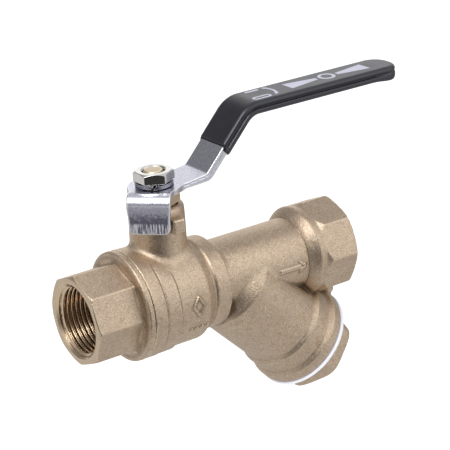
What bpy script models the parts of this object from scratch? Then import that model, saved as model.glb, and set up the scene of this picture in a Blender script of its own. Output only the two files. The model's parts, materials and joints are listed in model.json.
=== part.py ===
"""A brass lever ball valve with a Y-strainer branch cast into its outlet side, for 3/4 inch pipe.

Frame: the origin is the centre of the stem's flat top face, +X is the flow direction and +Z runs up
the stem. The valve stands open, so its lever lies along +X over the outlet. Every piece is first placed
about the ball's centre, where the pipe axis and the stem axis cross. At the end they all hang from one
datum that brings the stem's top face to the origin.
"""

import math

import bmesh
import bpy
from mathutils import Matrix, Vector

MM = 0.001
GAP = 0.3 * MM  # clearance between two pieces that touch on the real valve
TURN_STEPS = 40  # sides of a large turned piece
SMALL_TURN_STEPS = 24
MERGE = 1e-6
OVERRUN = 2 * MM  # how far a cutter reaches past the face that it opens

# Pipe ends: G3/4 female threads, modelled as plain bores at the thread's minor diameter
INLET_X = -37.0 * MM
OUTLET_X = 77.8 * MM
THREAD_MINOR_R = 12.06 * MM
THREAD_DEPTH = 15.5 * MM
MOUTH_R = 13.7 * MM
INLET_CORNER_R = 17.15 * MM
OUTLET_CORNER_R = 18.4 * MM
OUTLET_OCTAGON_X = 63.4 * MM

# Ball and its chamber
BALL_R = 15.3 * MM
PORT_R = 9.75 * MM
CHAMBER_R = 16.2 * MM
CHAMBER_WALL_R = 19.4 * MM
RING_R = 20.5 * MM
RING_EDGE_X = (-15.9 * MM, -10.4 * MM, -4.1 * MM)
CHAMBER_END_X = 8.6 * MM
COLLAR_R = 17.0 * MM
COLLAR_X = (12.6 * MM, 19.2 * MM)
TUBE_R = 13.9 * MM
OUTLET_RING_R = 17.15 * MM
OUTLET_RING_X = 62.2 * MM
OUTLET_SHOULDER_R = 3.6 * MM
CAP_SPIGOT_R = 17.4 * MM
CAP_SPIGOT_END_X = -8.6 * MM
CAP_SEAL_R = 16.55 * MM
CAP_SEAL_WIRE_R = 0.7 * MM
CAP_SEAL_X = -13.9 * MM
SEAT_R = 14.0 * MM
SEAT_BACK_X = 14.3 * MM
SEAT_LIP_X = 9.2 * MM

# Stem tower, from the chamber up
TOWER_R = 10.15 * MM
TOWER_TOP_Z = 35.4 * MM
PACKING_R = 7.7 * MM
PACKING_FLOOR_Z = 27.0 * MM
STEM_R = 5.1 * MM
STEM_COLLAR_R = 7.2 * MM
STEM_COLLAR_Z = (16.3 * MM, 18.3 * MM)
SHOULDER_Z = 19.6 * MM
O_RING_Z = 22.0 * MM
O_RING_R = 4.4 * MM
O_RING_WIRE_R = 0.75 * MM
STEM_FLAT_HALF = 3.2 * MM
STEM_NECK_R = 4.2 * MM
STEM_THREAD_R = 3.7 * MM
STEM_TOP_Z = 48.0 * MM
TANG_HALF = 3.0 * MM
TANG_BOTTOM_Z = 11.8 * MM
LUG_HALF_WIDTH = 2.1 * MM
LUG_Z = 29.6 * MM
LUG_HALF_HEIGHT = 2.5 * MM
LUG_END_Y = 13.5 * MM
GLAND_CORNER_R = 9.0 * MM
GLAND_HEX_Z = (35.7 * MM, 39.2 * MM)

# Lever, nut and grip
PLATE_TOP_Z = 42.1 * MM
PLATE_T = 2.2 * MM
HEAD_R = 10.0 * MM
ARM_HALF_WIDTH = 7.2 * MM
ARM_CORNER_R = 5.2 * MM
NECK_X = 5.0 * MM
FIRST_BEND = (18.2 * MM, 43.7 * MM)
SECOND_BEND = (37.6 * MM, 64.6 * MM)
BEND_RADII = (20.0 * MM, 2.0 * MM, 11.0 * MM)
ARM_CUT_TOP_Z = 2 * SECOND_BEND[1]
STEEL_END_X = 108.0 * MM
FLANGE_DEPTH = 3.0 * MM
TAB_TURN = math.radians(225)
TAB_HALF_WIDTH = 7.0 * MM
TAB_ROOT_HALF_WIDTH = 8.0 * MM
TAB_FLARE_Z = (33.0 * MM, 42.0 * MM)
TAB_FACE = 12.6 * MM
TAB_BEND_R = 4.2 * MM
TAB_BOTTOM_Z = 27.6 * MM
TAB_CORNER_R = 2.2 * MM
NUT_CORNER_R = 7.5 * MM
NUT_Z = (44.15 * MM, 47.9 * MM)
WASHER_R = 7.1 * MM
WASHER_Z = (42.4 * MM, 43.85 * MM)
GRIP_START_X = 25.6 * MM
GRIP_WALL = 0.55 * MM
GRIP_FIT = 0.25 * MM
GRIP_TIP_EXTRA = 1.0 * MM

# Strainer branch: its axis leaves the pipe axis at 45 degrees, down and towards the outlet
BRANCH_X = 25.2 * MM
BRANCH_ROOT = (1.0 * MM, 13.6 * MM)
BRANCH_START = 6.2 * MM
BRANCH_R = 17.7 * MM
BRANCH_STEPS = ((37.4 * MM, 18.7 * MM), (45.6 * MM, 20.2 * MM))
BRANCH_END = 50.4 * MM
SCREEN_SEAT = -1.0 * MM
SCREEN_R = 10.9 * MM
SCREEN_WALL = 0.7 * MM
SCREEN_END = 46.0 * MM
SCREEN_CHAMBER_R = 14.4 * MM
PLUG_THREAD_R = 15.6 * MM
PLUG_THREAD_START = 41.0 * MM
PLUG_CORNER_R = 17.4 * MM
PLUG_END = 62.3 * MM
GASKET_R = 20.4 * MM
GASKET_T = 1.6 * MM

ALONG_X = Matrix.Rotation(math.pi / 2, 4, "Y")
ALONG_BRANCH = Matrix.Translation((BRANCH_X, 0, 0)) @ Matrix.Rotation(math.radians(135), 4, "Y")
UPRIGHT = Matrix.Identity(4)


def clear_scene():
    for obj in list(bpy.data.objects):
        bpy.data.objects.remove(obj, do_unlink=True)


def new_collection(name, is_helper=False):
    collection = bpy.data.collections.new(name)
    bpy.context.scene.collection.children.link(collection)
    collection.hide_render = is_helper
    return collection


def new_material(name, colour, roughness, metallic):
    material = bpy.data.materials.new(name)
    material.use_nodes = True
    shader = material.node_tree.nodes["Principled BSDF"]
    shader.inputs["Base Color"].default_value = (*colour, 1)
    shader.inputs["Roughness"].default_value = roughness
    shader.inputs["Metallic"].default_value = metallic
    return material


clear_scene()
PARTS = new_collection("strainer_ball_valve")
CUTTERS = new_collection("cutters", is_helper=True)


def place(name, mesh, matrix, collection=CUTTERS):
    """A new object at this matrix. One in the cutters' collection is a helper and is never built."""
    obj = bpy.data.objects.new(name, mesh)
    collection.objects.link(obj)
    obj.matrix_world = matrix
    if collection is CUTTERS:
        obj.hide_render = True
        obj.display_type = "WIRE"
    return obj


def arc(centre, radius, start, end, points):
    """Points on an arc of a 2D outline, from one angle to another in degrees."""
    angles = [math.radians(start + (end - start) * i / (points - 1)) for i in range(points)]
    return [(centre[0] + radius * math.cos(a), centre[1] + radius * math.sin(a)) for a in angles]


def turned(name, outline, matrix=UPRIGHT, collection=CUTTERS, steps=TURN_STEPS, ring=False):
    """A turned body. Its outline is (radius, height) points, down the outer side from the top."""
    mesh = bpy.data.meshes.new(name)
    count = len(outline)
    edges = [(i, (i + 1) % count) for i in range(count if ring else count - 1)]
    mesh.from_pydata([(r, 0, z) for r, z in outline], edges, [])
    obj = place(name, mesh, matrix, collection)
    screw = obj.modifiers.new("turn", "SCREW")
    screw.steps = steps
    screw.render_steps = steps
    screw.use_merge_vertices = True
    screw.merge_threshold = MERGE
    screw.use_normal_calculate = False
    return obj


def as_mesh(obj, name, collection=CUTTERS):
    """A welded mesh copy of an evaluated curve, which takes the curve's place."""
    evaluated = obj.evaluated_get(bpy.context.evaluated_depsgraph_get())
    mesh = bpy.data.meshes.new_from_object(evaluated)
    built = bmesh.new()
    built.from_mesh(mesh)
    bmesh.ops.remove_doubles(built, verts=built.verts, dist=MERGE)
    bmesh.ops.recalc_face_normals(built, faces=built.faces)
    built.to_mesh(mesh)
    built.free()
    matrix = obj.matrix_world.copy()
    bpy.data.objects.remove(obj, do_unlink=True)
    return place(name, mesh, matrix, collection)


def slab(name, outline, half_thickness, matrix=UPRIGHT, collection=CUTTERS):
    """A flat outline in its own XY plane, thickened to both sides of it."""
    curve = bpy.data.curves.new(name, "CURVE")
    curve.dimensions = "2D"
    curve.fill_mode = "BOTH"
    curve.extrude = half_thickness
    spline = curve.splines.new("POLY")
    spline.points.add(len(outline) - 1)
    for point, (x, y) in zip(spline.points, outline):
        point.co = (x, y, 0, 1)
    spline.use_cyclic_u = True
    guide = place(name + "_outline", curve, matrix)
    bpy.context.view_layer.update()
    return as_mesh(guide, name, collection)


def polygon_bar(name, sides, corner_r, low, high, matrix=UPRIGHT, turn=0.0, collection=CUTTERS):
    """A bar with a regular section, from low to high along its Z. One corner is on its X at turn 0."""
    mesh = bpy.data.meshes.new(name)
    built = bmesh.new()
    centre = Matrix.Translation((0, 0, (low + high) / 2))
    bmesh.ops.create_cone(
        built,
        cap_ends=True,
        segments=sides,
        radius1=corner_r,
        radius2=corner_r,
        depth=high - low,
        matrix=centre @ Matrix.Rotation(turn - math.pi / 2, 4, "Z"),
    )
    bmesh.ops.recalc_face_normals(built, faces=built.faces)
    built.to_mesh(mesh)
    built.free()
    return place(name, mesh, matrix, collection)


def combine(obj, other, operation):
    """Adds an exact Boolean. The operation is UNION, DIFFERENCE or INTERSECT."""
    modifier = obj.modifiers.new(other.name, "BOOLEAN")
    modifier.operation = operation
    modifier.object = other
    return obj


def shade(obj, material, edge_angle=30):
    """Applies every modifier, then gives the piece its material and smooth round faces."""
    bpy.context.view_layer.update()
    evaluated = obj.evaluated_get(bpy.context.evaluated_depsgraph_get())
    mesh = bpy.data.meshes.new_from_object(evaluated)
    obj.modifiers.clear()
    obj.data = mesh
    mesh.materials.clear()
    mesh.materials.append(material)
    mesh.shade_smooth()
    mesh.set_sharp_from_angle(angle=math.radians(edge_angle))
    return obj


def pipe_end(name, corner_r, face_x, back_x):
    """An octagon on the pipe axis, a corner on top, its outer end turned to a cone as on a nut."""
    outward = 1 if face_x > back_x else -1
    low, high = sorted((face_x, back_x))
    octagon = polygon_bar(name, 8, corner_r, low, high, ALONG_X)
    corner_cut = 1.3 * MM
    chamfer = 1.0 * MM
    face_r = corner_r - corner_cut
    wide = corner_r + OVERRUN
    outline = [(0, face_x), (face_r, face_x), (wide, face_x - outward * (chamfer + OVERRUN))]
    outline += [(wide, back_x - outward * OVERRUN), (0, back_x - outward * OVERRUN)]
    if outward < 0:
        outline.reverse()
    envelope = turned(name + "_envelope", outline, ALONG_X)
    return combine(octagon, envelope, "INTERSECT")


def pipe_bore(name, face_x, port_x):
    """The cutter for a threaded mouth: entry chamfer, thread bore, and the port behind it."""
    outward = 1 if face_x > port_x else -1
    chamfer = MOUTH_R - THREAD_MINOR_R
    thread_end = face_x - outward * THREAD_DEPTH
    cone = 1.2 * MM
    outline = [(0, face_x + outward * OVERRUN), (MOUTH_R, face_x + outward * OVERRUN)]
    outline += [(MOUTH_R, face_x), (THREAD_MINOR_R, face_x - outward * chamfer)]
    outline += [(THREAD_MINOR_R, thread_end), (PORT_R, thread_end - outward * cone)]
    outline += [(PORT_R, port_x), (0, port_x)]
    if outward < 0:
        outline.reverse()
    return turned(name, outline, ALONG_X)


def seat_outline():
    """A seat ring's section: its inner face follows the ball at one gap from it."""
    reach = BALL_R + GAP
    bore_r = PORT_R + 0.2 * MM
    lip_angle = math.degrees(math.acos(SEAT_LIP_X / reach))
    bore_angle = math.degrees(math.asin(bore_r / reach))
    face = [(y, x) for x, y in arc((0, 0), reach, lip_angle, bore_angle, 5)]
    outer_r = SEAT_R - GAP
    return [(outer_r, SEAT_BACK_X - GAP), (outer_r, SEAT_LIP_X), *face, (bore_r, SEAT_BACK_X - GAP)]


# ---------------------------------------------------------------- brass forging and end cap


def body_profile():
    """The forging's turned outline about the pipe axis, from the outlet ring back to the inlet."""
    ring_start, first_line, second_line = RING_EDGE_X
    step = 0.5 * MM
    octagon_overlap = 1 * MM
    ring_face_x = OUTLET_OCTAGON_X + octagon_overlap
    shoulder_centre_r = OUTLET_RING_R - OUTLET_SHOULDER_R
    shoulder_end = -math.degrees(math.acos((TUBE_R - shoulder_centre_r) / OUTLET_SHOULDER_R))
    shoulder = arc((shoulder_centre_r, OUTLET_RING_X), OUTLET_SHOULDER_R, 0, shoulder_end, 6)
    return [
        (0, ring_face_x),
        (OUTLET_RING_R - step, ring_face_x),
        (OUTLET_RING_R, OUTLET_OCTAGON_X),
        *shoulder,
        (TUBE_R, COLLAR_X[1]),
        (COLLAR_R - step, COLLAR_X[1]),
        (COLLAR_R, COLLAR_X[1] - step),
        (COLLAR_R + step, COLLAR_X[0]),
        (CHAMBER_WALL_R - step, CHAMBER_END_X + step),
        (CHAMBER_WALL_R, CHAMBER_END_X - step),
        (CHAMBER_WALL_R, second_line),
        (RING_R - step, second_line - step),
        (RING_R - step / 2, first_line),
        (RING_R, first_line - step),
        (RING_R, ring_start),
        (0, ring_start),
    ]


def chamber_cutter():
    """The end cap's threaded mouth, the ball chamber, the outlet seat's pocket and its port."""
    mouth_r = CAP_SPIGOT_R + GAP
    pocket_step_x = SEAT_LIP_X - 1 * MM
    chamber_edge_x = SEAT_LIP_X - 3 * MM
    return turned(
        "chamber_cutter",
        [
            (0, BRANCH_X),
            (PORT_R, BRANCH_X),
            (PORT_R, SEAT_BACK_X),
            (SEAT_R, SEAT_BACK_X),
            (SEAT_R, pocket_step_x),
            (CHAMBER_R, chamber_edge_x),
            (CHAMBER_R, CAP_SPIGOT_END_X + GAP),
            (mouth_r, CAP_SPIGOT_END_X + GAP),
            (mouth_r, RING_EDGE_X[0] - OVERRUN),
            (0, RING_EDGE_X[0] - OVERRUN),
        ],
        ALONG_X,
    )


def tower():
    """The stem tower, with a rounded top edge and a flared root that blends into the chamber."""
    top_r = 2.0 * MM
    flare_r = 3.0 * MM
    taper = 0.3 * MM
    flare_lift = 2.2 * MM
    sunk = 6 * MM
    shoulder = arc((TOWER_R - top_r, TOWER_TOP_Z - top_r), top_r, 75, 0, 4)
    flare_centre = (TOWER_R + taper + flare_r, CHAMBER_WALL_R + flare_lift)
    flare = arc(flare_centre, flare_r, 180, 262, 6)
    floor = CHAMBER_WALL_R - sunk
    outline = [(0, TOWER_TOP_Z), *shoulder, *flare, (flare[-1][0], floor), (0, floor)]
    return turned("tower", outline, steps=SMALL_TURN_STEPS)


def tower_cutter():
    """The stem's guide bore, with the packing box above it and the collar's recess below."""
    guide_r = STEM_R + GAP
    recess_r = STEM_COLLAR_R + GAP
    box_r = PACKING_R + GAP
    recess_floor = BALL_R - 6 * MM
    return turned(
        "tower_cutter",
        [
            (0, TOWER_TOP_Z + OVERRUN),
            (box_r, TOWER_TOP_Z + OVERRUN),
            (box_r, PACKING_FLOOR_Z),
            (guide_r, PACKING_FLOOR_Z),
            (guide_r, SHOULDER_Z),
            (recess_r, SHOULDER_Z),
            (recess_r, recess_floor),
            (0, recess_floor),
        ],
        steps=SMALL_TURN_STEPS,
    )


def stop_lugs():
    """One bar through the tower, whose two rounded ends are the lever's stops."""
    flat_half_width = 0.4 * MM
    corner = LUG_HALF_WIDTH - flat_half_width
    rise = LUG_HALF_HEIGHT - corner
    outline = []
    for quarter, (side_x, side_y) in enumerate([(1, 1), (-1, 1), (-1, -1), (1, -1)]):
        centre = (side_x * (LUG_HALF_WIDTH - corner), side_y * rise)
        outline += arc(centre, corner, 90 * quarter, 90 * quarter + 90, 4)
    across = Matrix.Translation((0, 0, LUG_Z)) @ Matrix.Rotation(math.pi / 2, 4, "X")
    bar = slab("stop_lugs", outline, LUG_END_Y, across)
    gap_r = TOWER_R - 1 * MM
    gap_top = LUG_Z + LUG_HALF_HEIGHT + OVERRUN
    gap_bottom = LUG_Z - LUG_HALF_HEIGHT - OVERRUN
    gap = [(0, gap_top), (gap_r, gap_top), (gap_r, gap_bottom), (0, gap_bottom)]
    inside = turned("stop_lugs_gap", gap, steps=SMALL_TURN_STEPS)
    return combine(bar, inside, "DIFFERENCE")


def branch():
    """The strainer branch's stepped outside, which starts as a cone that rises from the tube."""
    (first, first_r), (second, second_r) = BRANCH_STEPS
    root, root_r = BRANCH_ROOT
    step = 1.2 * MM
    soft = 0.6 * MM
    return turned(
        "branch",
        [
            (0, BRANCH_END),
            (second_r - soft, BRANCH_END),
            (second_r, BRANCH_END - soft),
            (second_r, second + step),
            (first_r, second),
            (first_r, first + step),
            (BRANCH_R, first),
            (BRANCH_R, BRANCH_START + soft),
            (BRANCH_R - soft, BRANCH_START - soft),
            (root_r, root),
            (0, root),
        ],
        ALONG_BRANCH,
    )


def branch_cutter():
    """The screen's seat, the chamber round the screen, and the plug's threaded mouth."""
    seat_r = SCREEN_R + GAP
    mouth_r = PLUG_THREAD_R + GAP
    undercut = PLUG_THREAD_START - 2 * MM
    chamber_start = BRANCH_START + 5 * MM
    seat_end = BRANCH_START + 2 * MM
    return turned(
        "branch_cutter",
        [
            (0, BRANCH_END + OVERRUN),
            (mouth_r, BRANCH_END + OVERRUN),
            (mouth_r, PLUG_THREAD_START - GAP),
            (SCREEN_CHAMBER_R, undercut),
            (SCREEN_CHAMBER_R, chamber_start),
            (seat_r, seat_end),
            (seat_r, SCREEN_SEAT),
            (0, SCREEN_SEAT),
        ],
        ALONG_BRANCH,
    )


def branch_web():
    """The cast web that fills the notch between the outlet octagon and the branch's collar."""
    half_width = 3.2 * MM
    end_line = BRANCH_X + BRANCH_END * math.sqrt(2)
    low_z = -22.5 * MM
    high_z = -14.0 * MM
    inner_x = 66.0 * MM
    outer_x = OUTLET_X - 1 * MM
    outline = [(inner_x, high_z), (inner_x, low_z), (end_line + low_z, low_z)]
    outline += [(outer_x, outer_x - end_line), (outer_x, high_z)]
    upright = Matrix.Rotation(math.pi / 2, 4, "X")
    return slab("branch_web", outline, half_width, upright)


def flow_arrow():
    """The raised arrow on the tube's side, pointing to the outlet."""
    tail, neck, tip = 43.6 * MM, 51.9 * MM, 55.4 * MM
    shaft, barb = 0.75 * MM, 2.1 * MM
    height = 0.5 * MM
    outline = [(tail, -shaft), (neck, -shaft), (neck, -barb), (tip, 0)]
    outline += [(neck, barb), (neck, shaft), (tail, shaft)]
    side = Matrix.Translation((0, -TUBE_R, 0)) @ Matrix.Rotation(math.pi / 2, 4, "X")
    return slab("flow_arrow", outline, height, side)


def build_valve_body(brass):
    body = turned("valve_body", body_profile(), ALONG_X, PARTS)
    octagon = pipe_end("outlet_octagon", OUTLET_CORNER_R, OUTLET_X, OUTLET_OCTAGON_X)
    for piece in (octagon, tower(), stop_lugs(), branch(), branch_web(), flow_arrow()):
        combine(body, piece, "UNION")
    outlet = pipe_bore("outlet_bore", OUTLET_X, BRANCH_X + PORT_R)
    for cutter in (chamber_cutter(), tower_cutter(), branch_cutter(), outlet):
        combine(body, cutter, "DIFFERENCE")
    return shade(body, brass)


def build_inlet_end_cap(brass):
    """The octagonal end: it screws into the chamber's mouth and holds the inlet seat."""
    flange_x = -18.3 * MM
    face_x = RING_EDGE_X[0] - GAP
    soft = 0.8 * MM
    groove_r = CAP_SPIGOT_R - 1.8 * MM
    groove_x = (CAP_SEAL_X - 1.1 * MM, CAP_SEAL_X + 1.1 * MM)
    cone_r = INLET_CORNER_R - 2 * MM
    cap = turned(
        "inlet_end_cap",
        [
            (0, CAP_SPIGOT_END_X),
            (CAP_SPIGOT_R, CAP_SPIGOT_END_X),
            (CAP_SPIGOT_R, groove_x[1]),
            (groove_r, groove_x[1]),
            (groove_r, groove_x[0]),
            (CAP_SPIGOT_R, groove_x[0]),
            (CAP_SPIGOT_R, face_x),
            (RING_R, face_x),
            (RING_R, flange_x + soft),
            (RING_R - soft, flange_x),
            (cone_r, flange_x - soft),
            (0, flange_x - soft),
        ],
        ALONG_X,
        PARTS,
    )
    combine(cap, pipe_end("inlet_octagon", INLET_CORNER_R, INLET_X, flange_x + soft), "UNION")
    inner_x = CAP_SPIGOT_END_X + OVERRUN
    combine(cap, pipe_bore("inlet_bore", INLET_X, inner_x), "DIFFERENCE")
    pocket = [(0, inner_x), (SEAT_R, inner_x), (SEAT_R, -SEAT_BACK_X), (0, -SEAT_BACK_X)]
    combine(cap, turned("inlet_seat_pocket", pocket, ALONG_X), "DIFFERENCE")
    return shade(cap, brass)


def o_ring(name, ring_r, wire_r, height, matrix, sections=8):
    section = arc((ring_r, height), wire_r, 90, 90 - 360 * (sections - 1) / sections, sections)
    return turned(name, section, matrix, PARTS, SMALL_TURN_STEPS, ring=True)


# ---------------------------------------------------------------- ball, seats and stem


def build_ball(chrome):
    outline = arc((0, 0), BALL_R, 90, -90, 17)
    outline[0] = (0, BALL_R)
    outline[-1] = (0, -BALL_R)
    ball = turned("ball", outline, ALONG_X, PARTS)
    reach = BALL_R + OVERRUN
    port = [(0, reach), (PORT_R, reach), (PORT_R, -reach), (0, -reach)]
    combine(ball, turned("ball_port", port, ALONG_X), "DIFFERENCE")
    slot_half = TANG_HALF + GAP
    slot_floor = TANG_BOTTOM_Z - 0.4 * MM
    slot = [(-slot_half, slot_floor), (slot_half, slot_floor)]
    slot += [(slot_half, reach), (-slot_half, reach)]
    across = Matrix.Rotation(math.pi / 2, 4, "X")
    combine(ball, slab("ball_slot", slot, reach, across), "DIFFERENCE")
    return shade(ball, chrome)


def build_stem(brass):
    """Drive tang, blow-out collar, grooved shank, two lever flats and the threaded top."""
    wire_gap = O_RING_WIRE_R + GAP
    groove_r = O_RING_R - wire_gap
    shank_top = 39.6 * MM
    thread_start = 42.3 * MM
    chamfer = 0.5 * MM
    stem = turned(
        "stem",
        [
            (0, STEM_TOP_Z),
            (STEM_THREAD_R - chamfer, STEM_TOP_Z),
            (STEM_THREAD_R, STEM_TOP_Z - chamfer),
            (STEM_THREAD_R, thread_start),
            (STEM_NECK_R, thread_start),
            (STEM_NECK_R, shank_top),
            (STEM_R, shank_top),
            (STEM_R, O_RING_Z + wire_gap),
            (groove_r, O_RING_Z + wire_gap),
            (groove_r, O_RING_Z - wire_gap),
            (STEM_R, O_RING_Z - wire_gap),
            (STEM_R, STEM_COLLAR_Z[1]),
            (STEM_COLLAR_R, STEM_COLLAR_Z[1]),
            (STEM_COLLAR_R, STEM_COLLAR_Z[0]),
            (0, STEM_COLLAR_Z[0]),
        ],
        collection=PARTS,
        steps=SMALL_TURN_STEPS,
    )
    across = Matrix.Rotation(math.pi / 2, 4, "X")
    tang_width = 5.6 * MM
    tang_top = STEM_COLLAR_Z[0] + 1 * MM
    tang = [(-TANG_HALF, TANG_BOTTOM_Z), (TANG_HALF, TANG_BOTTOM_Z)]
    tang += [(TANG_HALF, tang_top), (-TANG_HALF, tang_top)]
    combine(stem, slab("stem_tang", tang, tang_width, across), "UNION")
    for side in (-1, 1):
        near, far = side * STEM_FLAT_HALF, side * (STEM_R + OVERRUN)
        flat = [(near, shank_top), (far, shank_top), (far, thread_start), (near, thread_start)]
        combine(stem, slab(f"stem_flat_{side}", flat, STEM_R + OVERRUN, across), "DIFFERENCE")
    return shade(stem, brass)


def build_flat_ring(name, inner_r, outer_r, low, high, material, matrix=UPRIGHT):
    outline = [(outer_r, high), (outer_r, low), (inner_r, low), (inner_r, high)]
    ring = turned(name, outline, matrix, PARTS, SMALL_TURN_STEPS, ring=True)
    return shade(ring, material)


def build_gland_nut(brass):
    """A hexagon on a threaded sleeve that presses on the packing."""
    low, high = GLAND_HEX_Z
    sleeve_bottom = 32.3 * MM
    guide_r = STEM_R + GAP
    chamfer_r = GLAND_CORNER_R - 0.6 * MM
    chamfer = 0.7 * MM
    wide = GLAND_CORNER_R + 1 * MM
    below = low - 1 * MM
    overlap = high - 1 * MM
    turn = math.radians(-34)
    nut = polygon_bar("gland_nut", 6, GLAND_CORNER_R, low, high, turn=turn, collection=PARTS)
    envelope = [(0, high), (chamfer_r, high), (wide, high - chamfer), (wide, below), (0, below)]
    combine(nut, turned("gland_envelope", envelope), "INTERSECT")
    sleeve = [(0, overlap), (PACKING_R, overlap), (PACKING_R, sleeve_bottom), (0, sleeve_bottom)]
    combine(nut, turned("gland_sleeve", sleeve, steps=SMALL_TURN_STEPS), "UNION")
    hole = [(0, high + OVERRUN), (guide_r, high + OVERRUN)]
    hole += [(guide_r, sleeve_bottom - OVERRUN), (0, sleeve_bottom - OVERRUN)]
    combine(nut, turned("gland_hole", hole, steps=SMALL_TURN_STEPS), "DIFFERENCE")
    return shade(nut, brass)


# ---------------------------------------------------------------- lever, nut and grip


def bent_line(corners, radii, points=6):
    """A polyline with each inner corner rounded to a radius, as (x, z) points."""
    line = [Vector(corners[0])]
    for before, corner, after, radius in zip(corners, corners[1:], corners[2:], radii):
        corner = Vector(corner)
        back = (Vector(before) - corner).normalized()
        ahead = (Vector(after) - corner).normalized()
        half = back.angle(ahead) / 2
        reach = radius / math.tan(half)
        centre = corner + (back + ahead).normalized() * radius / math.sin(half)
        start = corner + back * reach - centre
        end = corner + ahead * reach - centre
        sweep = start.angle_signed(end)
        for i in range(points):
            turn = -sweep * i / (points - 1)
            cos, sin = math.cos(turn), math.sin(turn)
            line.append(centre + Vector((start.x * cos - start.y * sin, start.x * sin + start.y * cos)))
    line.append(Vector(corners[-1]))
    return line


def offset_line(line, distance):
    """The same polyline moved sideways; a positive distance goes below a line that runs along +X."""
    moved = []
    for i, point in enumerate(line):
        before = line[max(i - 1, 0)]
        after = line[min(i + 1, len(line) - 1)]
        along = (after - before).normalized()
        amount = distance(point.x) if callable(distance) else distance
        moved.append(point + Vector((along.y, -along.x)) * amount)
    return moved


def lever_line(lift, end_x):
    """The lever's upper surface in side view, lifted by the thickness of a grip where there is one."""
    corners = [(0, PLATE_TOP_Z), (NECK_X, PLATE_TOP_Z), FIRST_BEND, SECOND_BEND]
    corners.append((end_x, SECOND_BEND[1]))
    return offset_line(bent_line(corners, BEND_RADII), -lift)


def arm_depth(x):
    """The channel's depth: only plate at the head, and full flanges from the riser on."""
    share = min(max((x - NECK_X) / (FIRST_BEND[0] - NECK_X), 0), 1)
    return PLATE_T + (FLANGE_DEPTH - PLATE_T) * share


def side_slab(name, top, depth, half_width, collection=CUTTERS):
    outline = [tuple(p) for p in top] + [tuple(p) for p in reversed(offset_line(top, depth))]
    outline.reverse()
    return slab(name, outline, half_width, Matrix.Rotation(math.pi / 2, 4, "X"), collection)


def rounded_end(name, start_x, end_x, half_width, corner_r, low, high):
    """A plan outline with a rounded far end, thick enough to trim the arm or the grip to it."""
    outline = [(start_x, -half_width)]
    outline += arc((end_x - corner_r, -half_width + corner_r), corner_r, -90, 0, 7)
    outline += arc((end_x - corner_r, half_width - corner_r), corner_r, 0, 90, 7)
    outline.append((start_x, half_width))
    level = Matrix.Translation((0, 0, (low + high) / 2))
    return slab(name, outline, (high - low) / 2, level)


def stop_tab():
    """The tab: a strip from the head that bends down outside the tower, with round lower corners."""
    bend_centre = (TAB_FACE - TAB_BEND_R, PLATE_TOP_Z - TAB_BEND_R)
    outer = arc(bend_centre, TAB_BEND_R, 90, 0, 7)
    inner = arc(bend_centre, TAB_BEND_R - PLATE_T, 0, 90, 7)
    inset = 3 * MM
    outline = [(inset, PLATE_TOP_Z), *outer, (TAB_FACE, TAB_BOTTOM_Z), (TAB_FACE - PLATE_T, TAB_BOTTOM_Z)]
    outline += [*inner, (inset, PLATE_TOP_Z - PLATE_T)]
    outline.reverse()
    turn = Matrix.Rotation(TAB_TURN, 4, "Z")
    tab = slab("stop_tab", outline, TAB_ROOT_HALF_WIDTH, turn @ Matrix.Rotation(math.pi / 2, 4, "X"))
    low = TAB_BOTTOM_Z + TAB_CORNER_R
    side = TAB_HALF_WIDTH - TAB_CORNER_R
    wide = TAB_HALF_WIDTH + 2 * MM
    flare_low, flare_high = TAB_FLARE_Z
    front = [(wide, PLATE_TOP_Z + 1 * MM), (-wide, PLATE_TOP_Z + 1 * MM)]
    front += [(-wide, flare_high), (-TAB_HALF_WIDTH, flare_low)]
    front += arc((-side, low), TAB_CORNER_R, 180, 270, 6)
    front += arc((side, low), TAB_CORNER_R, 270, 360, 6)
    front += [(TAB_HALF_WIDTH, flare_low), (wide, flare_high)]
    facing = turn @ Matrix.Rotation(math.pi / 2, 4, "Z") @ Matrix.Rotation(math.pi / 2, 4, "X")
    return combine(tab, slab("stop_tab_front", front, TAB_FACE + OVERRUN, facing), "INTERSECT")


def build_lever(zinc):
    """Head disc, stop tab and cranked channel arm, bent from one steel plate."""
    low = PLATE_TOP_Z - PLATE_T
    head = [(0, PLATE_TOP_Z), (HEAD_R, PLATE_TOP_Z), (HEAD_R, low), (0, low)]
    lever = turned("lever", head, collection=PARTS)
    top = lever_line(0, STEEL_END_X)
    arm = side_slab("lever_arm", top, arm_depth, ARM_HALF_WIDTH)
    trim = rounded_end(
        "lever_arm_plan", -HEAD_R, STEEL_END_X, ARM_HALF_WIDTH, ARM_CORNER_R, 0, ARM_CUT_TOP_Z
    )
    combine(arm, trim, "INTERSECT")
    below = offset_line(top, PLATE_T)
    hollow_half = ARM_HALF_WIDTH - PLATE_T
    hollow_depth = 6 * MM
    hollow_start = FIRST_BEND[0] + 4 * MM
    hollow_end = STEEL_END_X - PLATE_T
    hollow_corner = ARM_CORNER_R - PLATE_T
    hollow = side_slab("lever_channel", below, hollow_depth, hollow_half)
    hollow_plan = rounded_end(
        "lever_channel_plan", hollow_start, hollow_end, hollow_half, hollow_corner, 0, ARM_CUT_TOP_Z
    )
    combine(hollow, hollow_plan, "INTERSECT")
    combine(arm, hollow, "DIFFERENCE")
    combine(lever, stop_tab(), "UNION")
    combine(lever, arm, "UNION")
    hole_r = STEM_NECK_R + GAP
    flat = STEM_FLAT_HALF + GAP
    bow = math.degrees(math.acos(flat / hole_r))
    outline = arc((0, 0), hole_r, bow, 180 - bow, 9) + arc((0, 0), hole_r, 180 + bow, 360 - bow, 9)
    through = Matrix.Translation((0, 0, PLATE_TOP_Z))
    combine(lever, slab("lever_hole", outline, 2 * PLATE_T, through), "DIFFERENCE")
    return shade(lever, zinc)


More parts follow.
